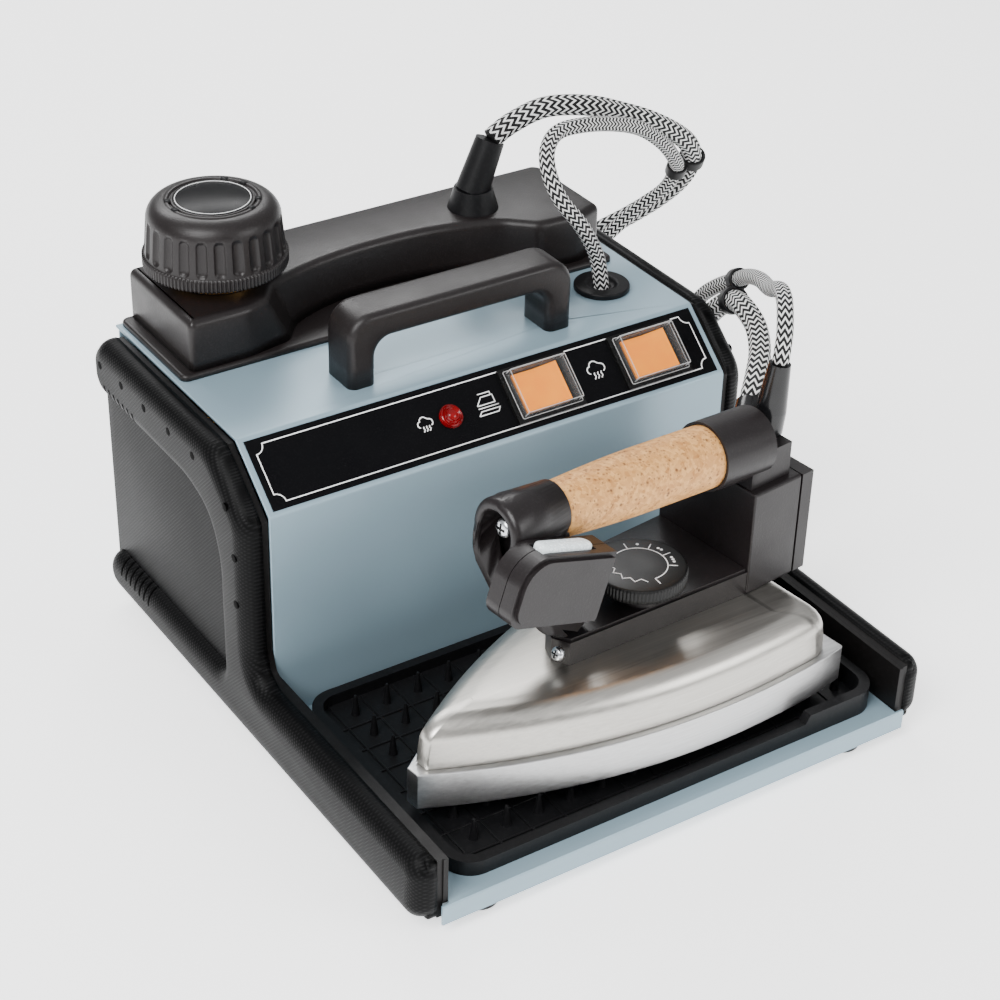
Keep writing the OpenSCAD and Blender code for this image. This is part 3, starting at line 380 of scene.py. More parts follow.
FINISH = {
    "blue_paint": painted("blue_paint", (0.245, 0.345, 0.405), 0.36),
    "side_black": diagonal_skin(),
    # the rockers' faint emission is a painted glow that deepens their orange
    "rocker_orange": glowing("rocker_orange", (0.95, 0.25, 0.0), (1.0, 0.30, 0.0), 0.45, 0.12),
    "clear_cover": clear_skin(),
    # whitish and fairly opaque: painted highlights on the clear covers' edges
    "clear_edge": clear_skin("clear_edge", 0.75, 0.45, 0.7),
    "lamp_red": glowing("lamp_red", (0.20, 0.0008, 0.003), (0.10, 0.0004, 0.0015), 0.10),
    "sole_metal": brushed("sole_metal", (0.60, 0.60, 0.60), 0.32, turn=-IRON_YAW),
    "hood_steel": brushed("hood_steel", (0.55, 0.53, 0.49), 0.34, turn=-IRON_YAW),
    "cork": cork_skin(),
    "hose_braid": braid_skin("hose_braid", 0.0046, 8.0),
    "cable_braid": braid_skin("cable_braid", 0.0034, 7.0),
}
FINISH.update({name: moulded(name, base, rough, **rest)
               for name, (base, rough, rest) in MOULDED.items()})
FINISH.update({name: turned(name, base, rough) for name, (base, rough) in TURNED.items()})


# ---------------------------------------------------------------- mesh helpers

def smooth(obj, bevel=0.0, segments=3, weld=False):
    """Smooth shading and soft edges on sharp corners; weld first joins a CAD mesh's faces."""
    obj.data.polygons.foreach_set("use_smooth", [True] * len(obj.data.polygons))
    if weld:
        if obj.data.has_custom_normals:
            obj.data.attributes.remove(obj.data.attributes["custom_normal"])
        joint = obj.modifiers.new("weld", "WELD")
        joint.merge_threshold = 0.01 * MM
    if bevel:
        soft = obj.modifiers.new("bevel", "BEVEL")
        soft.width = bevel * MM
        soft.segments = segments
        soft.limit_method = "ANGLE"
        soft.angle_limit = math.radians(35)
        soft.harden_normals = not weld
        soft.use_clamp_overlap = True
        if weld:
            even = obj.modifiers.new("normals", "WEIGHTED_NORMAL")
            even.weight = 100


CENTRED = Matrix.Translation((0, -CENTRE_Y * MM, 0))


def piece(name, verts, faces, finish, body="machine", replaces=(), place=None, bevel=0.0,
          segments=3, slot=None, uv=None):
    """A mesh from points in millimetres, with its finish, riding on a body."""
    mesh = bpy.data.meshes.new(name)
    scaled = np.array(verts, float) * MM
    mesh.from_pydata([tuple(v) for v in scaled], [], [tuple(f) for f in faces])
    mesh.transform(CENTRED @ (place or Matrix.Identity(4)))
    if uv is not None:
        layer = mesh.uv_layers.new(name="braid")
        layer.data.foreach_set("uv", np.array(uv, np.float32).ravel())
    mesh.validate()
    cleaned = bmesh.new()
    cleaned.from_mesh(mesh)
    bmesh.ops.recalc_face_normals(cleaned, faces=cleaned.faces)
    cleaned.to_mesh(mesh)
    cleaned.free()
    obj = bpy.data.objects.new(name, mesh)
    bpy.context.scene.collection.objects.link(obj)
    mesh.materials.append(FINISH[finish])
    smooth(obj, bevel, segments)
    if body:
        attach(obj, body)
    if replaces:
        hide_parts(*replaces)
    return obj


def moved(x, y, z, turn=(0, 0, 0)):
    """A place in millimetres, turned by degrees about X, then Y, then Z."""
    spin = Matrix.Identity(4)
    for axis, angle in zip("XYZ", turn):
        spin = Matrix.Rotation(math.radians(angle), 4, axis) @ spin
    return Matrix.Translation(Vector((x, y, z)) * MM) @ spin


IRON = moved(*IRON_AT, (0, 0, IRON_YAW))


def on_slope(x, s, lift=0.0):
    """A place on the sloping panel: across it, up it, and above it."""
    return moved(x, FACE_Y, FRONT_TOP, (SLOPE_DEG, 0, 0)) @ moved(0, s, lift)


def polar(r, degrees):
    a = math.radians(degrees)
    return r * math.cos(a), r * math.sin(a)


def skin(rings):
    """Points and faces over rings of as many points each, closed with a face at each end."""
    n = len(rings[0])
    verts = [v for ring in rings for v in ring]
    faces = [list(range(n))[::-1], [(len(rings) - 1) * n + k for k in range(n)]]
    faces += [[i * n + k, i * n + (k + 1) % n, (i + 1) * n + (k + 1) % n, (i + 1) * n + k]
              for i in range(len(rings) - 1) for k in range(n)]
    return verts, faces


def prism(outline, low, high):
    """An outline made solid between two heights."""
    return skin([[(x, y, z) for x, y in outline] for z in (low, high)])


def box(x0, y0, x1, y1, low, high):
    return prism([(x0, y0), (x1, y0), (x1, y1), (x0, y1)], low, high)


def circle(r, z, count):
    return [(*polar(r, 360 * k / count), z) for k in range(count)]


def lathe(profile, count):
    """A solid of revolution about Z from (radius, height) pairs."""
    return skin([circle(r, z, count) for r, z in profile])


def ribbon(points, width, low, high, closed=False):
    """A flat band of one width along a line of 2D points, made solid."""
    p = np.array(points, float)
    before = np.roll(p, 1, 0) if closed else np.vstack([p[:1], p[:-1]])
    after = np.roll(p, -1, 0) if closed else np.vstack([p[1:], p[-1:]])
    a, b = p - before, after - p
    a[np.linalg.norm(a, axis=1) == 0] = b[np.linalg.norm(a, axis=1) == 0]
    b[np.linalg.norm(b, axis=1) == 0] = a[np.linalg.norm(b, axis=1) == 0]
    a /= np.linalg.norm(a, axis=1)[:, None]
    b /= np.linalg.norm(b, axis=1)[:, None]
    side = np.stack([-(a + b)[:, 1], (a + b)[:, 0]], 1)
    side /= np.maximum(np.linalg.norm(side, axis=1), 1e-9)[:, None]
    stretch = 1 / np.maximum(np.abs((side * np.stack([-a[:, 1], a[:, 0]], 1)).sum(1)), 0.5)
    off = side * (stretch * width / 2)[:, None]
    left, right, n = p + off, p - off, len(p)
    verts = ([(x, y, low) for x, y in left] + [(x, y, low) for x, y in right]
             + [(x, y, high) for x, y in left] + [(x, y, high) for x, y in right])
    faces = []
    for i in range(n if closed else n - 1):
        j = (i + 1) % n
        faces += [[i, j, n + j, n + i], [2 * n + i, 3 * n + i, 3 * n + j, 2 * n + j],
                  [i, 2 * n + i, 2 * n + j, j], [n + i, n + j, 3 * n + j, 3 * n + i]]
    if not closed:
        faces += [[0, n, 3 * n, 2 * n], [n - 1, 3 * n - 1, 4 * n - 1, 2 * n - 1]]
    return verts, faces


def joined(parts):
    """Several (points, faces) pairs as one."""
    verts, faces = [], []
    for v, f in parts:
        faces += [[i + len(verts) for i in face] for face in f]
        verts += list(v)
    return verts, faces


def arc(cx, cy, r, start, end, steps=10):
    turns = (polar(r, start + (end - start) * i / steps) for i in range(steps + 1))
    return [(cx + x, cy + y) for x, y in turns]


def round_rect(x0, y0, x1, y1, r, steps=8):
    return (arc(x1 - r, y1 - r, r, 0, 90, steps) + arc(x0 + r, y1 - r, r, 90, 180, steps)
            + arc(x0 + r, y0 + r, r, 180, 270, steps) + arc(x1 - r, y0 + r, r, 270, 360, steps))


# ---------------------------------------------------------------- hose and cable

def coil_points(r, low):
    """Points of the coil, which winds clockwise from COIL_TOP down to low."""
    count = 63
    turns = (i / count for i in range(1, count))
    return [(*(c + p for c, p in zip(COIL_AT, polar(r, -90 - 360 * COIL_TURNS * t))),
             COIL_TOP + (low - COIL_TOP) * t) for t in turns]


def curve_through(points, step):
    """One smooth line through the points, resampled at an even step."""
    p = np.array(points, float)
    dense = []
    for i in range(len(p) - 1):
        a, b, c, d = p[max(i - 1, 0)], p[i], p[i + 1], p[min(i + 2, len(p) - 1)]
        for t in np.linspace(0, 1, 24, endpoint=False):
            dense.append(0.5 * (2 * b + (c - a) * t + (2 * a - 5 * b + 4 * c - d) * t * t
                                + (3 * b - a - 3 * c + d) * t ** 3))
    dense = np.array(dense + [p[-1]])
    run = np.concatenate([[0], np.cumsum(np.linalg.norm(np.diff(dense, axis=0), axis=1))])
    even = np.linspace(0, run[-1], int(run[-1] / step) + 1)
    return np.stack([np.interp(even, run, dense[:, k]) for k in range(3)], 1), run[-1]


def braided_tube(name, points, diameter, sides, finish):
    """A tube that never twists, with a map of metres along it and turns round it."""
    line, length = curve_through(points, step=2.0)
    heading = np.gradient(line, axis=0)
    heading /= np.linalg.norm(heading, axis=1)[:, None]
    side = np.cross(heading[0], (0, 1, 0))
    side /= np.linalg.norm(side)
    rings = []
    for centre, ahead in zip(line, heading):
        side = side - ahead * (side @ ahead)
        side /= np.linalg.norm(side)
        other = np.cross(ahead, side)
        rings.append([centre + x * side + y * other
                      for x, y, _ in circle(diameter / 2, 0, sides)])
    verts, faces = skin(rings)
    uv, gap = [(0, 0)] * (2 * sides), length / (len(line) - 1) * MM
    for i in range(len(line) - 1):
        for k in range(sides):
            uv += [(i * gap, k / sides), (i * gap, (k + 1) / sides),
                   ((i + 1) * gap, (k + 1) / sides), ((i + 1) * gap, k / sides)]
    obj = piece(name, verts, faces, finish, body=None, slot="braid", uv=uv)
    return obj, (line - (0, CENTRE_Y, 0)) * MM, length * MM


def make_cord(name, upper, coil, lower, diameter, sides, finish, nodes):
    """A braided cord from the machine, through the coil on the floor, to the iron."""
    obj, line, length = braided_tube(name, upper + coil + lower, diameter, sides, finish)
    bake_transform(obj)
    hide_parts(*nodes)


make_cord("steam_hose", HOSE_UPPER, coil_points(HOSE_COIL_R, 5.8), HOSE_LOWER, HOSE_D, 32,
          "hose_braid", ["steam_hose_upper", "steam_hose_coil", "steam_hose_lower"])
make_cord("iron_cable", CABLE_UPPER, coil_points(CABLE_COIL_R, 5.5), CABLE_LOWER, CABLE_D, 24,
          "cable_braid", ["iron_cable_upper", "iron_cable_coil", "iron_cable_lower"])


# ---------------------------------------------------------------- CAD nodes that stay

def keep(finish, *names, bevel=0.0, segments=3):
    """CAD nodes shown as they are, with a finish and soft edges."""
    for name in names:
        obj = NODES[name]
        obj.data.materials.clear()
        obj.data.materials.append(FINISH[finish])
        smooth(obj, bevel, segments, weld=True)


keep("blue_paint", "base_tray", "body_shell", "back_panel", bevel=0.45, segments=2)
keep("frame_black", "side_frame_left", "side_frame_right", bevel=0.7)
keep("overlay_black", "control_overlay", bevel=0.12, segments=2)
keep("switch_black", "switch_body_left", "switch_body_right", bevel=0.7)
keep("rocker_orange", "rocker_left", "rocker_right", bevel=0.5)
keep("clear_cover", "splash_cover_left", "splash_cover_right", bevel=0.45)
keep("lamp_red", "lamp_holder", bevel=0.4)
keep("zinc_screw", "handle_screws", "foot_screws", "grip_rod", bevel=0.4)
keep("brass", "filler_neck", "cap_plug", "steam_valve", "iron_thermostat", bevel=0.3)
keep("boiler_steel", "boiler_tank", "sole_element", bevel=0.6)
keep("copper", "boiler_element", "steam_pipe", bevel=0.3)
keep("switch_grey", "pressure_switch", "button_switch", bevel=0.4)
keep("ceramic", "terminal_block", bevel=0.5)
keep("soft_rubber", "hose_gland", "cable_grommet", "mains_gland", "feet", "hose_clips",
     "rest_mat", bevel=0.8)
keep("gasket_rubber", "cap_gasket", bevel=0.3)
keep("sole_metal", "soleplate", bevel=0.7, segments=2)
keep("iron_black", "iron_skirt", bevel=1.3)
keep("iron_black", "rear_post", "rear_box", "rear_cover", bevel=1.4)
keep("iron_black", "thumb_housing", "thumb_cover", bevel=1.6, segments=4)
keep("cork", "cork_grip")
keep("boot_black", "cable_boot", "steam_inlet", bevel=0.7)


# ---------------------------------------------------------------- side covers

def outline(e):
    """Side view of the machine, shrunk by e on every edge."""
    y0, y1, arm = -154, 156, 43
    return [(y0 + e, 8 + e), (y1 - 6 - e, 8 + e), (y1 - e, 14 + e), (y1 - e, BODY_TOP - 10 - e),
            (y1 - 8 - e, BODY_TOP - 1 - e), (FACE_Y + SLOPE_RUN + e, BODY_TOP - 1 - e),
            (FACE_Y + e, FRONT_TOP - 1 - e), (FACE_Y + e, arm + 14), (FACE_Y - 4 + e, arm + 4),
            (FACE_Y - 12, arm - e), (y0 + e, arm - e)]


def rounded(points, radius, steps=6):
    """The same outline with every corner rounded."""
    out = []
    for i, corner in enumerate(points):
        c = Vector(corner)
        a, b = Vector(points[i - 1]) - c, Vector(points[(i + 1) % len(points)]) - c
        reach = min(radius, a.length * 0.45, b.length * 0.45)
        start, end = c + a.normalized() * reach, c + b.normalized() * reach
        for k in range(steps + 1):
            t = k / steps
            out.append(tuple(start * (1 - t) ** 2 + c * 2 * t * (1 - t) + end * t * t))
    return out


def inset(points, e):
    """The closed outline moved inwards by e, for points that run anticlockwise."""
    p = np.array(points, float)
    a, b = p - np.roll(p, 1, 0), np.roll(p, -1, 0) - p
    a /= np.maximum(np.linalg.norm(a, axis=1), 1e-9)[:, None]
    b /= np.maximum(np.linalg.norm(b, axis=1), 1e-9)[:, None]
    inward = np.stack([-(a + b)[:, 1], (a + b)[:, 0]], 1)
    inward /= np.maximum(np.linalg.norm(inward, axis=1), 1e-9)[:, None]
    reach = 1 / np.maximum((inward * np.stack([-a[:, 1], a[:, 0]], 1)).sum(1), 0.6)
    return p + inward * (reach * e)[:, None]


def domed(points, low, high, radius, steps=6):
    """Rings of an outline made solid from low to high, with its upper edge rounded."""
    rings = [[(x, y, low) for x, y in points]]
    for k in range(steps + 1):
        t = math.radians(90 * k / steps)
        rings.append([(x, y, high - radius + radius * math.sin(t))
                      for x, y in inset(points, radius * (1 - math.cos(t)))])
    return skin(rings)


BAND = ([(-148, 8)] + arc(144.5, 19.5, 11.5, -90, 90, 12)
        + [(26, 31), (26, 100), (34, 118), (54, 125)] + arc(143, 138, 13, -90, 0, 8)
        + [(156, 147), (148, 156), (29, 156), (-2, 130), (-2, 57), (-6, 47), (-14, 43),
           (-148, 43), (-154, 37), (-154, 14)])
COVER_IN, COVER_FLAT, SIDE_OUT, BAND_R = 133.6, 138, 145, 9
DOTS = [(144, 144), (120, 144.5), (95, 144.5), (69, 145), (44, 145), (13, 134), (6, 110),
        (6, 84)]
VENT_FIRST, VENT_PITCH, VENT_COUNT, VENT_HALF = 108, 5.2, 7, 0.8
VENT_EDGES = ((31, -1), (125, 1))             # the band's inner edge, and the way the band lies


def vent(y, edge, way):
    """A thin dark line of painted shade in a vent slot over the band's rounded edge, leaning back
    as it climbs.
    """
    low = math.asin((COVER_FLAT - SIDE_OUT + BAND_R) / BAND_R)
    steps, lean = 8, 1.5 * way
    section = [(edge + way * BAND_R * (1 - math.cos(t)), SIDE_OUT - BAND_R + BAND_R * math.sin(t))
               for t in np.linspace(low, math.pi / 2, steps + 1)]
    verts = [(y + d + lean * k / steps, z, x + lift) for lift in (-0.8, 0.08)
             for d in (-VENT_HALF, VENT_HALF) for k, (z, x) in enumerate(section)]
    n = len(section)
    faces = [[0, n, 3 * n, 2 * n], [n - 1, 3 * n - 1, 4 * n - 1, 2 * n - 1]]
    for i in range(n - 1):
        j = i + 1
        faces += [[i, j, n + j, n + i], [2 * n + i, 3 * n + i, 3 * n + j, 2 * n + j],
                  [i, 2 * n + i, 2 * n + j, j], [n + i, n + j, 3 * n + j, 3 * n + i]]
    return verts, faces


def side_cover(name, sign, node):
    """Plate with a raised, rounded band along its top, front and foot, and dark dots and vent lines
    painting the shade in its holes and vent slots.
    """
    turn = Matrix(((0, 0, sign, 0), (1, 0, 0, 0), (0, 1, 0, 0), (0, 0, 0, 1)))
    plate = domed(rounded(outline(1.0), 3), COVER_IN, COVER_FLAT, 1.2, 3)
    band = domed(rounded(BAND, 9), COVER_IN + 0.2, SIDE_OUT, BAND_R, 10)
    piece(name, *joined([plate, band]), "side_black", replaces=[node], place=turn)
    dots = []
    for y, z in DOTS:
        verts, faces = lathe([(2.1, -0.6), (2.1, 0.04), (1.9, 0.07), (0.1, 0.07)], 24)
        dots.append(([(a + y, b + z, c + SIDE_OUT) for a, b, c in verts], faces))
    # dark discs painting the shade in the holes along the band
    piece(name + "_dots", *joined(dots), "hole_black", place=turn, slot="soft_rubber")
    vents = [vent(VENT_FIRST + VENT_PITCH * i, edge, way)
             for edge, way in VENT_EDGES for i in range(VENT_COUNT)]
    piece(name + "_vents", *joined(vents), "hole_black", place=turn, slot="soft_rubber")


side_cover("side_cover_l", -1, "side_cover_left")
side_cover("side_cover_r", 1, "side_cover_right")


# ---------------------------------------------------------------- control panel print

PRINT_H, PRINT_W = 0.10, 0.6


def cloud(cx, cy, size):
    """A steam symbol: an open cloud of three arcs over three wavy lines."""
    line = (arc(cx - 3.2 * size, cy, 2.0 * size, 250, 90, 8)
            + arc(cx - 0.6 * size, cy + 1.6 * size, 2.7 * size, 150, 30, 8)
            + arc(cx + 2.8 * size, cy + 0.2 * size, 2.2 * size, 90, -70, 8))
    parts = [ribbon(line, PRINT_W, 0, PRINT_H)]
    for dx in (-1.7, 0.3, 2.3):
        tail = [(cx + (dx - 0.5 * t - 0.35 * math.sin(4.5 * t)) * size,
                 cy - (1.6 + 2.0 * t) * size) for t in np.linspace(0, 1.7, 9)]
        parts.append(ribbon(tail, PRINT_W, 0, PRINT_H))
    return parts


def panel_print():
    """White border with hollowed corners, and three symbols."""
    x1, margin, corner = 123.5, 5.6, 4.5
    y0, y1 = margin, SLOPE_LEN - margin
    border = []
    for cx, cy, start in ((x1, y1, 270), (-x1, y1, 360), (-x1, y0, 90), (x1, y0, 180)):
        border += arc(cx, cy, corner, start, start - 90, 8)
    parts = [ribbon(border, 0.55, 0, PRINT_H, closed=True)]
    parts += cloud(-37.6, 20.8, 0.80) + cloud(61.6, 21.6, 1.0)
    iron = [(-5, 0.5), (5, 0.5), (5, 4.5), (-1.5, 4.5), (-5, 0.5)]
    grip = [(-2.5, 6.2), (4.2, 6.2), (4.2, 4.5)]
    rest = [(-6, -4.6), (5, -4.6), (6.5, -2.6), (-4, -2.6), (-6, -4.6)]
    low = [(-5, -1.0), (6.5, -1.0)]
    for line in (iron, grip, rest, low):
        parts.append(ribbon([(x - 3.2, y + 20.6) for x, y in line], 0.5, 0, PRINT_H))
    piece("panel_print", *joined(parts), "overlay_white", place=on_slope(0, 0, 0.46))


panel_print()


def cover_edge_highlights():
    """Whitish strips along the clear splash covers' rims, feet and corners: painted highlights on
    their edges.
    """
    foot_z, top_z, half_x, half_y, w = 3.4, 8.5, 15.8, 11.6, 0.2
    rim = round_rect(-15.9, -11.7, 15.9, 11.7, 0.8, 4)
    foot = round_rect(-17.5, -12.7, 17.5, 12.7, 0.8, 4)
    parts = [ribbon(rim, 0.35, 8.45, 8.66, closed=True),
             ribbon(foot, 0.3, foot_z, 3.58, closed=True)]
    for u, v in ((-half_x, -half_y), (half_x, -half_y), (half_x, half_y), (-half_x, half_y)):
        parts.append(box(u - w, v - w, u + w, v + w, foot_z, top_z))
    for side, x in zip(("left", "right"), SWITCH_AT):
        # painted highlights along each clear cover's edges
        piece("splash_edge_highlights_" + side, *joined(parts), "clear_edge",
              place=on_slope(x, SWITCH_S), slot="clear_cover")


cover_edge_highlights()


def lamp():
    """Faceted red lens with two stepped rings."""
    profile = [(3.5, -6), (3.5, 1.75), (5.6, 1.8), (5.6, 2.5), (5.1, 2.9), (4.7, 2.6), (4.2, 3.6),
               (3.7, 3.3), (3.1, 4.3), (2.5, 4.0), (1.6, 4.6), (0.6, 4.7)]
    piece("lamp_lens_cut", *lathe(profile, 20), "lamp_red", replaces=["lamp_lens"],
          place=on_slope(LAMP_AT, SWITCH_S), bevel=0.12, segments=2)


lamp()


# ---------------------------------------------------------------- moulding on the top

def housing_plan(t):
    """Outline of the moulding, t from 0 at its foot to 1 at its top: the hand recess leans back."""
    slide = 6 - 13 * t
    hollow = [(x + slide * max(0, 1 - (x + 62) / 40), 118 - 20 * (abs(x - 2) / 78) ** 2.4)
              for x in np.linspace(-62, 66, 11)]
    return ([(-121.5, 155.9), (-121.5, 88.5), (-90, 88.5), (-72 + slide, 93)] + hollow
            + [(80, 93), (104, 91), (120, 97), (120, 152), (116, 155.9)])


def top_moulding():
    """The moulding's body with a rounded upper edge, on a low flange."""
    low, high, edge, corner = BODY_TOP + 2.9, 186.6, 4.2, 3.6

    def level(z):
        return rounded(housing_plan((z - low) / (high - low)), corner, 5)

    rings = [[(x, y, z) for x, y in level(z)] for z in np.linspace(low, high - edge, 5)]
    last = level(high - edge)
    for k in range(1, 7):
        t = math.radians(15 * k)
        rings.append([(x, y, high - edge + edge * math.sin(t))
                      for x, y in inset(last, edge * (1 - math.cos(t)))])
    flange = domed(round_rect(-127.5, 86.5, 122.7, 155.9, 4), BODY_TOP + 0.1, BODY_TOP + 3, 1.6, 4)
    piece("cap_housing_moulded", *joined([skin(rings), flange]), "moulded_black",
          replaces=["cap_housing"])


top_moulding()


def bridged(rings):
    """Skin over rings that run up one side and down the other, with each end closed across."""
    verts, faces = skin(rings)
    n = len(rings[0])
    faces = faces[2:]
    for start, turn in ((0, 1), ((len(rings) - 1) * n, -1)):
        for i in range(n // 2 - 1):
            faces.append([start + k for k in (i, i + 1, n - 2 - i, n - 1 - i)][::turn])
    return verts, faces


def carry_handle():
    """Bow-shaped handle with soft edges: sections from its inner to its outer outline."""
    low, bend, top, half = BODY_TOP + 0.1, 168, 194.5, 63.5
    front, back = 39, 63
    outer = [(-half, low), (-half, bend)] + arc(-half + 13, top - 13, 13, 180, 90, 12)
    inner = ([(-half + 14.5, low), (-half + 14.5, bend)]
             + arc(-half + 24, 171, 9.5, 180, 90, 12))
    outer += [(-x, z) for x, z in reversed(outer)]
    inner += [(-x, z) for x, z in reversed(inner)]
    rings = []
    for (x0, z0), (x1, z1) in zip(inner, outer):
        deep = math.hypot(x1 - x0, z1 - z0)
        section = round_rect(0, front, deep, back, 4.2, 6)
        rings.append([(x0 + (x1 - x0) * a / deep, y, z0 + (z1 - z0) * a / deep)
                      for a, y in section])
    piece("carry_handle_moulded", *skin(rings), "moulded_black", replaces=["carry_handle"])


carry_handle()


# ---------------------------------------------------------------- safety cap

CAP_SKIRT_H = 6.4
CAP_SHOULDER_H = 24
CAP_EDGE = 9.2
FLUTE_STEP = 15
FLUTE_HALF = 2.6


def cap_radius(z, a):
    """Radius of the cap's side at a height above its base and an angle in degrees."""
    if z < CAP_SKIRT_H:
        rib = 0.5 + 0.5 * math.cos(math.radians(a * 108))
        return CAP_R - 0.9 * (1 - rib) ** 1.5 - (0.5 if z < 0.6 else 0)
    r = CAP_R - 1.2 - 1.6 * (z - CAP_SKIRT_H) / (CAP_SHOULDER_H - CAP_SKIRT_H)
    if z > CAP_SHOULDER_H:
        up = (z - CAP_SHOULDER_H) / CAP_EDGE
        r = CAP_R - 2.8 - CAP_EDGE * (1 - math.sqrt(max(1 - up ** 2, 0)))
    off = math.radians(a % FLUTE_STEP - FLUTE_STEP / 2) * 32
    end = max(9.6 - z, z - 22.8, 0)
    hollow = FLUTE_HALF ** 2 - off ** 2 - (end * 1.1) ** 2
    return r - 1.5 * math.sqrt(max(hollow, 0)) / FLUTE_HALF


def safety_cap():
    """Fluted cap over a ribbed skirt, open below, with a ringed and notched label on top."""
    count = 864
    heights = ([0.0, 0.6, 1.2, 3.0, 5.0, 6.1, CAP_SKIRT_H, 6.8] + [7.2 + 0.5 * i for i in range(34)]
               + [CAP_SHOULDER_H + polar(CAP_EDGE, a)[1] for a in range(3, 91, 6)])
    angles = [360 * k / count for k in range(count)]
    rings = [circle(27.5, 0.0, count)]
    rings += [[(*polar(cap_radius(z, a), a), z) for a in angles] for z in heights]
    rings += [circle(r, z, count)
              for r, z in ((23.3, 33.2), (23.0, 33.6), (22.0, 33.7), (21.4, 33.5), (21.2, 32.6),
                           (20.4, 32.6), (20.2, 33.3), (19.9, 33.4))]
    verts, faces = skin(rings)
    lining, lining_faces = lathe([(27.6, 0.1), (27.4, 9.9), (0.1, 9.9)], 96)
    # The first two faces are a skin's ends: the cap stays open below and its lining at both
    parts = [(verts, faces[1:]), (lining, lining_faces[2:])]
    at = moved(*CAP_AT, CAP_BASE)
    piece("cap_shell_ribbed", *joined(parts), "moulded_black", body="cap",
          replaces=["cap_shell"], place=at)
    label = lathe([(19.3, 33.0), (19.3, 33.55), (19.1, 33.65), (0.2, 33.7)], 96)
    piece("cap_label", *label, "overlay_black", body="cap", place=at)
    rim = ribbon(arc(0, 0, 18.2, 0, 352.5, 47), 0.35, 33.55, 33.78, closed=True)
    piece("cap_label_ring", *rim, "overlay_white", body="cap", place=at)
    notches = []
    for a in (20, 48, 160, 188, 300, 328):
        c, s = polar(1, a)
        verts, faces = prism(round_rect(20.3, -1.7, 23.2, 1.7, 0.5, 3), 33.0, 33.86)
        notches.append(([(x * c - y * s, x * s + y * c, z) for x, y, z in verts], faces))
    piece("cap_notches", *joined(notches), "soft_rubber", body="cap", place=at)


safety_cap()


# ---------------------------------------------------------------- iron

def boat(u):
    """Half width of the sole at a distance u behind its tip; it draws in a little at the heel."""
    widest = 195
    narrower = 2 * ((u - widest) / 27) ** 2 if u > widest else 0
    return 2.5 + (SOLE_HALF_W - 2.5) * (1 - (1 - min(u / widest, 1)) ** 2.25) - narrower


def boat_outline(e, back, steps=48):
    """The sole's outline moved inwards by e and by back at the heel, in the iron's own frame."""
    front = 2 + e * 1.6
    side = []
    for i in range(steps + 1):
        u = front + (SOLE_L - back - front) * (i / steps) ** 1.4
        side.append((u, max(boat(u) - e, 1)))
    return [(u, -v) for u, v in side] + [(u, v) for u, v in reversed(side)]


def rounded_heel(points, radius, steps=6):
    """The outline with its two heel corners rounded, and the same number of points on each side."""
    n = len(points) // 2
    heel_u, heel_v = points[n - 1][0], -points[n - 1][1]
    side = [(min(u, heel_u - radius), -v) for u, v in points[:n]]
    side += arc(heel_u - radius, heel_v - radius, radius, 90, 0, steps)[1:]
    return [(u, -v) for u, v in side] + [(u, v) for u, v in reversed(side)]


def hood():
    """Pressed steel hood: upright sides, a broad round shoulder and a nearly flat top."""
    side_in, side_top, shoulder, rise = 4.0, 32, 12.0, 11.4
    section = [(4.6, SOLE_T - 0.2), (3.4, SOLE_T + 0.1), (3.2, SOLE_T + 1.2), (3.35, 24),
               (3.6, 28), (side_in, side_top)]
    for k in range(1, 16):
        t = math.radians(90 * k / 15)
        section.append((side_in + shoulder * (1 - math.cos(t)), side_top + rise * math.sin(t)))
    section += [(18.5, HOOD_TOP - 0.3), (21, HOOD_TOP - 0.1)]
    rings = [[(u, v, z) for u, v in rounded_heel(boat_outline(e, e + 3), 9)] for e, z in section]
    top = rings[-1]
    half = len(top) // 2
    verts, faces = skin(rings)
    faces.pop(1)                              # the top is closed along a middle line instead
    start = len(verts)
    verts += [((a[0] + b[0]) / 2, 0, HOOD_TOP) for a, b in zip(top[:half], top[::-1])]
    first = start - len(top)
    last = start - 1
    for i in range(half - 1):
        faces.append([first + i, first + i + 1, start + i + 1, start + i])
        faces.append([last - 1 - i, last - i, start + i, start + i + 1])
    faces.append([first + half - 1, first + half, start + half - 1])
    faces.append([last, first, start])
    piece("iron_hood_pressed", verts, faces, "hood_steel", body="iron", replaces=["iron_hood"],
          place=IRON)


hood()


SCALE_R = 13.2


def dial_body():
    """Points and faces of the dial, with 80 grooves round its edge."""
    count, grooves, deep = 480, 80, 0.55
    profile = [(8, -3.2, 0), (8, 0, 0), (DIAL_R - 0.8, 0, 0), (DIAL_R, 0.7, 0.4), (DIAL_R, 3, 1),
               (DIAL_R, DIAL_H - 1.6, 1), (DIAL_R - 0.2, DIAL_H - 0.9, 0.2),
               (DIAL_R - 0.9, DIAL_H - 0.2, 0), (DIAL_R - 1.6, DIAL_H, 0), (5, DIAL_H, 0)]
    turns = [360 * k / count for k in range(count)]

    def groove(a):
        return deep * (0.5 + 0.5 * math.cos(math.radians(grooves * a))) ** 2

    return skin([[(*polar(r - knurl * groove(a), a), z) for a in turns]
                 for r, z, knurl in profile])


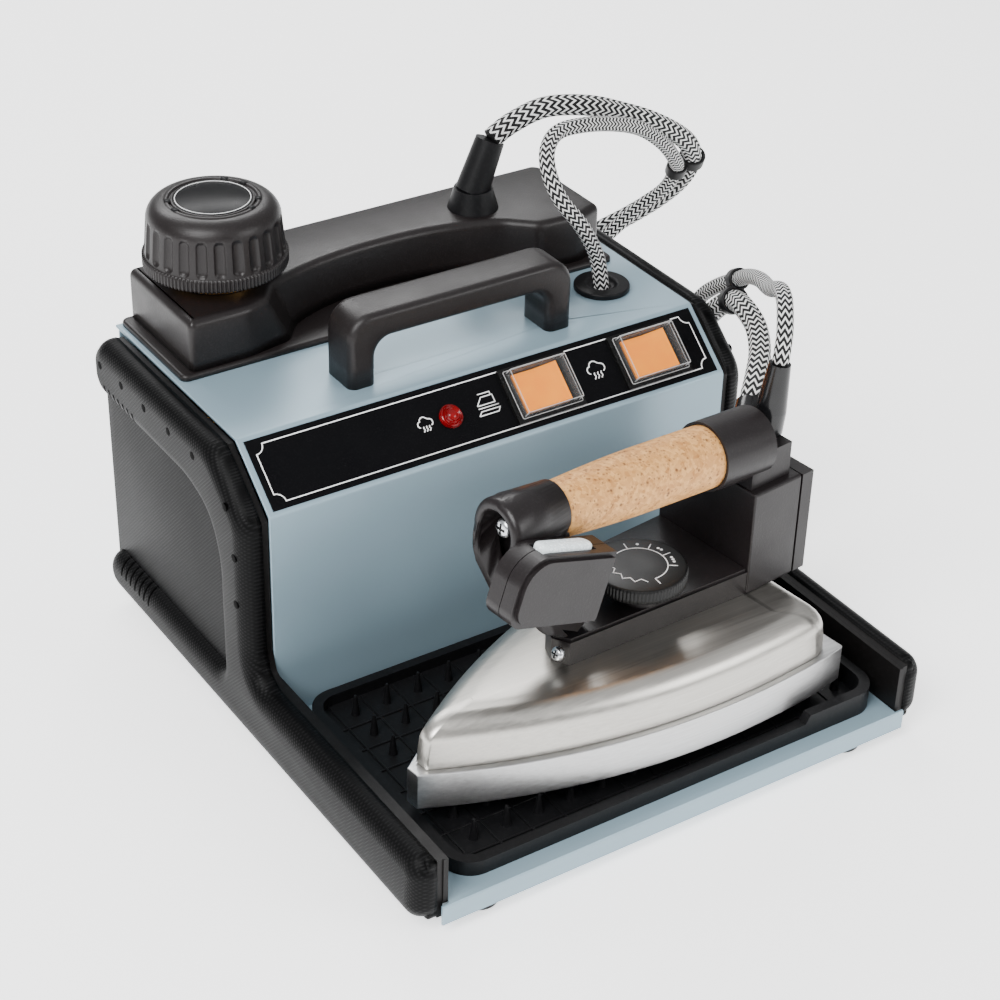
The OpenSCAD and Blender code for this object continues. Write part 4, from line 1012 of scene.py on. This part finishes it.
def dial():
    """Knurled dial with a raised white scale: an arc, ticks, and rows of one to three dots."""
    at = IRON @ moved(DIAL_AT[0], 0, DIAL_AT[1] - DIAL_H)
    piece("dial_knurled", *dial_body(), "dial_black", body="dial", replaces=["dial"], place=at)
    low, high, line_w = DIAL_H, DIAL_H + 0.08, 0.5
    parts = [ribbon(arc(0, 0, SCALE_R, -100, 120, 44), line_w, low, high)]
    for a in (-100, -42, -6, 30, 72, 120):
        parts.append(ribbon([polar(SCALE_R, a), polar(17.8, a)], line_w, low, high))
    for a, dots in ((-24, 3), (12, 2), (51, 1)):
        for d in range(dots):
            x, y = polar(16.4, a + 6.5 * (d - (dots - 1) / 2))
            parts.append(prism([(x + u, y + v) for u, v, _ in circle(0.75, 0, 12)], low, high))
    wave = [polar(SCALE_R + (1.4 if i % 2 else -1.0), a) for i, a in enumerate(range(135, 245, 12))]
    parts.append(ribbon(wave, line_w, low, high))
    piece("dial_scale", *joined(parts), "overlay_white", body="dial", place=at)


dial()


def thumb_button():
    """White oblong button with a crowned top, in the thumb housing's slot."""
    u, w = THUMB_CORNER
    tilt = IRON @ moved(u, 0, w, (0, BUTTON_TILT, 0))
    outer = round_rect(-42, -28.3, -10, -19.7, 4.2, 8)
    rings = [[(x, y, z) for x, y in inset(outer, e)]
             for e, z in ((0, -7), (0, 0.6), (0.25, 1.3), (0.9, 1.8), (2.0, 2.1), (3.2, 2.2))]
    piece("steam_button_crowned", *skin(rings), "button_white", body="steam_button",
          replaces=["steam_button"], place=tilt)


thumb_button()


def cross_screw(name, place, radius):
    """Pan head on the iron, its cross recess drawn as dark bars of painted shade."""
    head = lathe([(radius, -1.6), (radius, 0), (radius * 0.92, 0.7), (radius * 0.7, 1.3),
                  (radius * 0.35, 1.6), (0.1, 1.65)], 40)
    piece(name, *head, "zinc_screw", body="iron", place=place)
    arm, w = radius * 0.58, radius * 0.13
    # dark bars painting the shade in the cross recess
    bars = [box(-arm, -w, arm, w, 0.9, 1.72), box(-w, -arm, w, arm, 0.9, 1.73)]
    piece(name + "_cross", *joined(bars), "switch_black", body="iron", place=place)


def front_post():
    """Post in front of the cork: a drum over a leg, with a deep recess in its face."""
    low, neck, axis = 62, 121, 128.5
    heights = [low, 68, 76, 84, 92, 100, 108, 115, neck]
    # Distance from the iron's tip, by height, of the post's front and rear
    front = ([62, 68, 76, 84, 92, 112, 128, 142], [80.5, 70.5, 64.3, 58.2, 52, 44, 46, 47.2])
    rear = ([62, 84, 100, 111, 113, 142], [101, 84, 80.6, 78.5, 77.6, 79.6])
    leg, rim = 9.0, 3.4

    def half_width(drum, w):
        return drum - (drum - leg) * ((neck - w) / (neck - low)) ** 0.8

    def face(drum):
        sides = [(half_width(drum, w), w) for w in heights]
        turns = (polar(drum, 90 - a) for a in range(115, 0, -8))
        crown = [(v, axis + w) for v, w in turns if axis + w > neck + 1]
        half = sides + crown + [(0.6, axis + drum)]
        return half + [(-v, w) for v, w in reversed(half)]

    def ring(points, line, shift):
        return [(np.interp(w, *line) + shift, v, w) for v, w in points]

    front_face = face(15.4)
    rings = [ring(face(13.1), rear, 0), ring(front_face, front, 9)]
    for k in range(9):
        t = math.radians(90 * k / 8)
        edge = inset(front_face, rim * (1 - math.cos(t)))
        rings.append(ring(edge, front, rim * (1 - math.sin(t))))
    for e, deep in ((4.2, 0), (5.0, 0.5), (5.3, 1.6), (5.9, 12)):
        rings.append(ring(inset(front_face, e), front, deep))
    piece("front_post_moulded", *bridged(rings), "iron_black", body="iron",
          replaces=["front_post"], place=IRON)


front_post()


GRIP_DEG = math.degrees(math.atan2(GRIP_REAR[1] - GRIP_FRONT[1], GRIP_REAR[0] - GRIP_FRONT[0]))
ALONG_GRIP = IRON @ moved(GRIP_FRONT[0], 0, GRIP_FRONT[1], (0, 90 - GRIP_DEG, 0))
cross_screw("grip_screw", ALONG_GRIP @ moved(0, 0, -27, (180, 0, 0)), 4.4)
cross_screw("nose_screw", IRON @ moved(79.5, -7, 53, (0, -72, 0)), 3.4)


# ---------------------------------------------------------------- rest mat ridges

def mat_ridges():
    """Low grid of ridges between the pins."""
    x0, x1, y0, y1, half = -112, 118, -141, -11, 0.5
    low, high = 18.6, 19.8
    parts = []
    for i in range(13):
        x = -106.4 + PIN_PITCH * i
        parts.append(box(x - half, y0, x + half, y1, low, high))
    for j in range(7):
        y = -135.2 + PIN_PITCH * j
        parts.append(box(x0, y - half, x1, y + half, low, high - 0.05))
    piece("mat_ridges", *joined(parts), "soft_rubber", bevel=0.3, segments=2)


mat_ridges()


# ---------------------------------------------------------------- stage

def area_light(name, at, size, power):
    """A rectangular light aimed at the middle of the machine."""
    data = bpy.data.lights.new(name, "AREA")
    data.shape = "RECTANGLE"
    data.size, data.size_y = size
    data.energy = power
    light = bpy.data.objects.new(name, data)
    bpy.context.scene.collection.objects.link(light)
    light.location = at
    light.rotation_mode = "QUATERNION"
    light.rotation_quaternion = (Vector((0, 0, 0.08)) - Vector(at)).to_track_quat("-Z", "Y")


def stage():
    """A bright floor, a sky that is dim at its horizon and brighter above, and three lights."""
    floor_mesh = bpy.data.meshes.new("floor")
    half = 30
    corners = [(-half, -half, 0), (half, -half, 0), (half, half, 0), (-half, half, 0)]
    floor_mesh.from_pydata(corners, [], [(0, 1, 2, 3)])
    floor = bpy.data.objects.new("floor", floor_mesh)
    bpy.context.scene.collection.objects.link(floor)
    n = Nodes("floor")
    cloud = n.noise(n.place(), 3, 2)
    floor_mesh.materials.append(n.finish(
        Base_Color=n.mix(n.ramp(cloud, 0.3, 0.7), (0.90, 0.90, 0.90), (0.92, 0.92, 0.92)),
        Roughness=0.7, Specular_IOR_Level=0.2, Emission_Color=(1, 1, 1), Emission_Strength=1.35))

    world = bpy.data.worlds.new("studio")
    bpy.context.scene.world = world
    world.use_nodes = True
    tree = world.node_tree
    sky = tree.nodes["Background"]
    sky.inputs["Color"].default_value = (0.97, 0.98, 1.0, 1)
    height = tree.nodes.new("ShaderNodeSeparateXYZ")
    tree.links.new(tree.nodes.new("ShaderNodeTexCoord").outputs["Generated"], height.inputs[0])
    fade = tree.nodes.new("ShaderNodeMapRange")
    for socket, value in (("From Min", 0.0), ("From Max", 1.0), ("To Min", 0.22), ("To Max", 0.9)):
        fade.inputs[socket].default_value = value
    tree.links.new(height.outputs[2], fade.inputs["Value"])
    tree.links.new(fade.outputs[0], sky.inputs["Strength"])

    area_light("key", (-1.1, -0.55, 1.35), (0.9, 0.9), 42)
    area_light("fill", (0.9, -1.5, 0.9), (0.9, 0.7), 16)
    area_light("back", (0.3, 1.3, 1.3), (1.4, 0.5), 24)


stage()
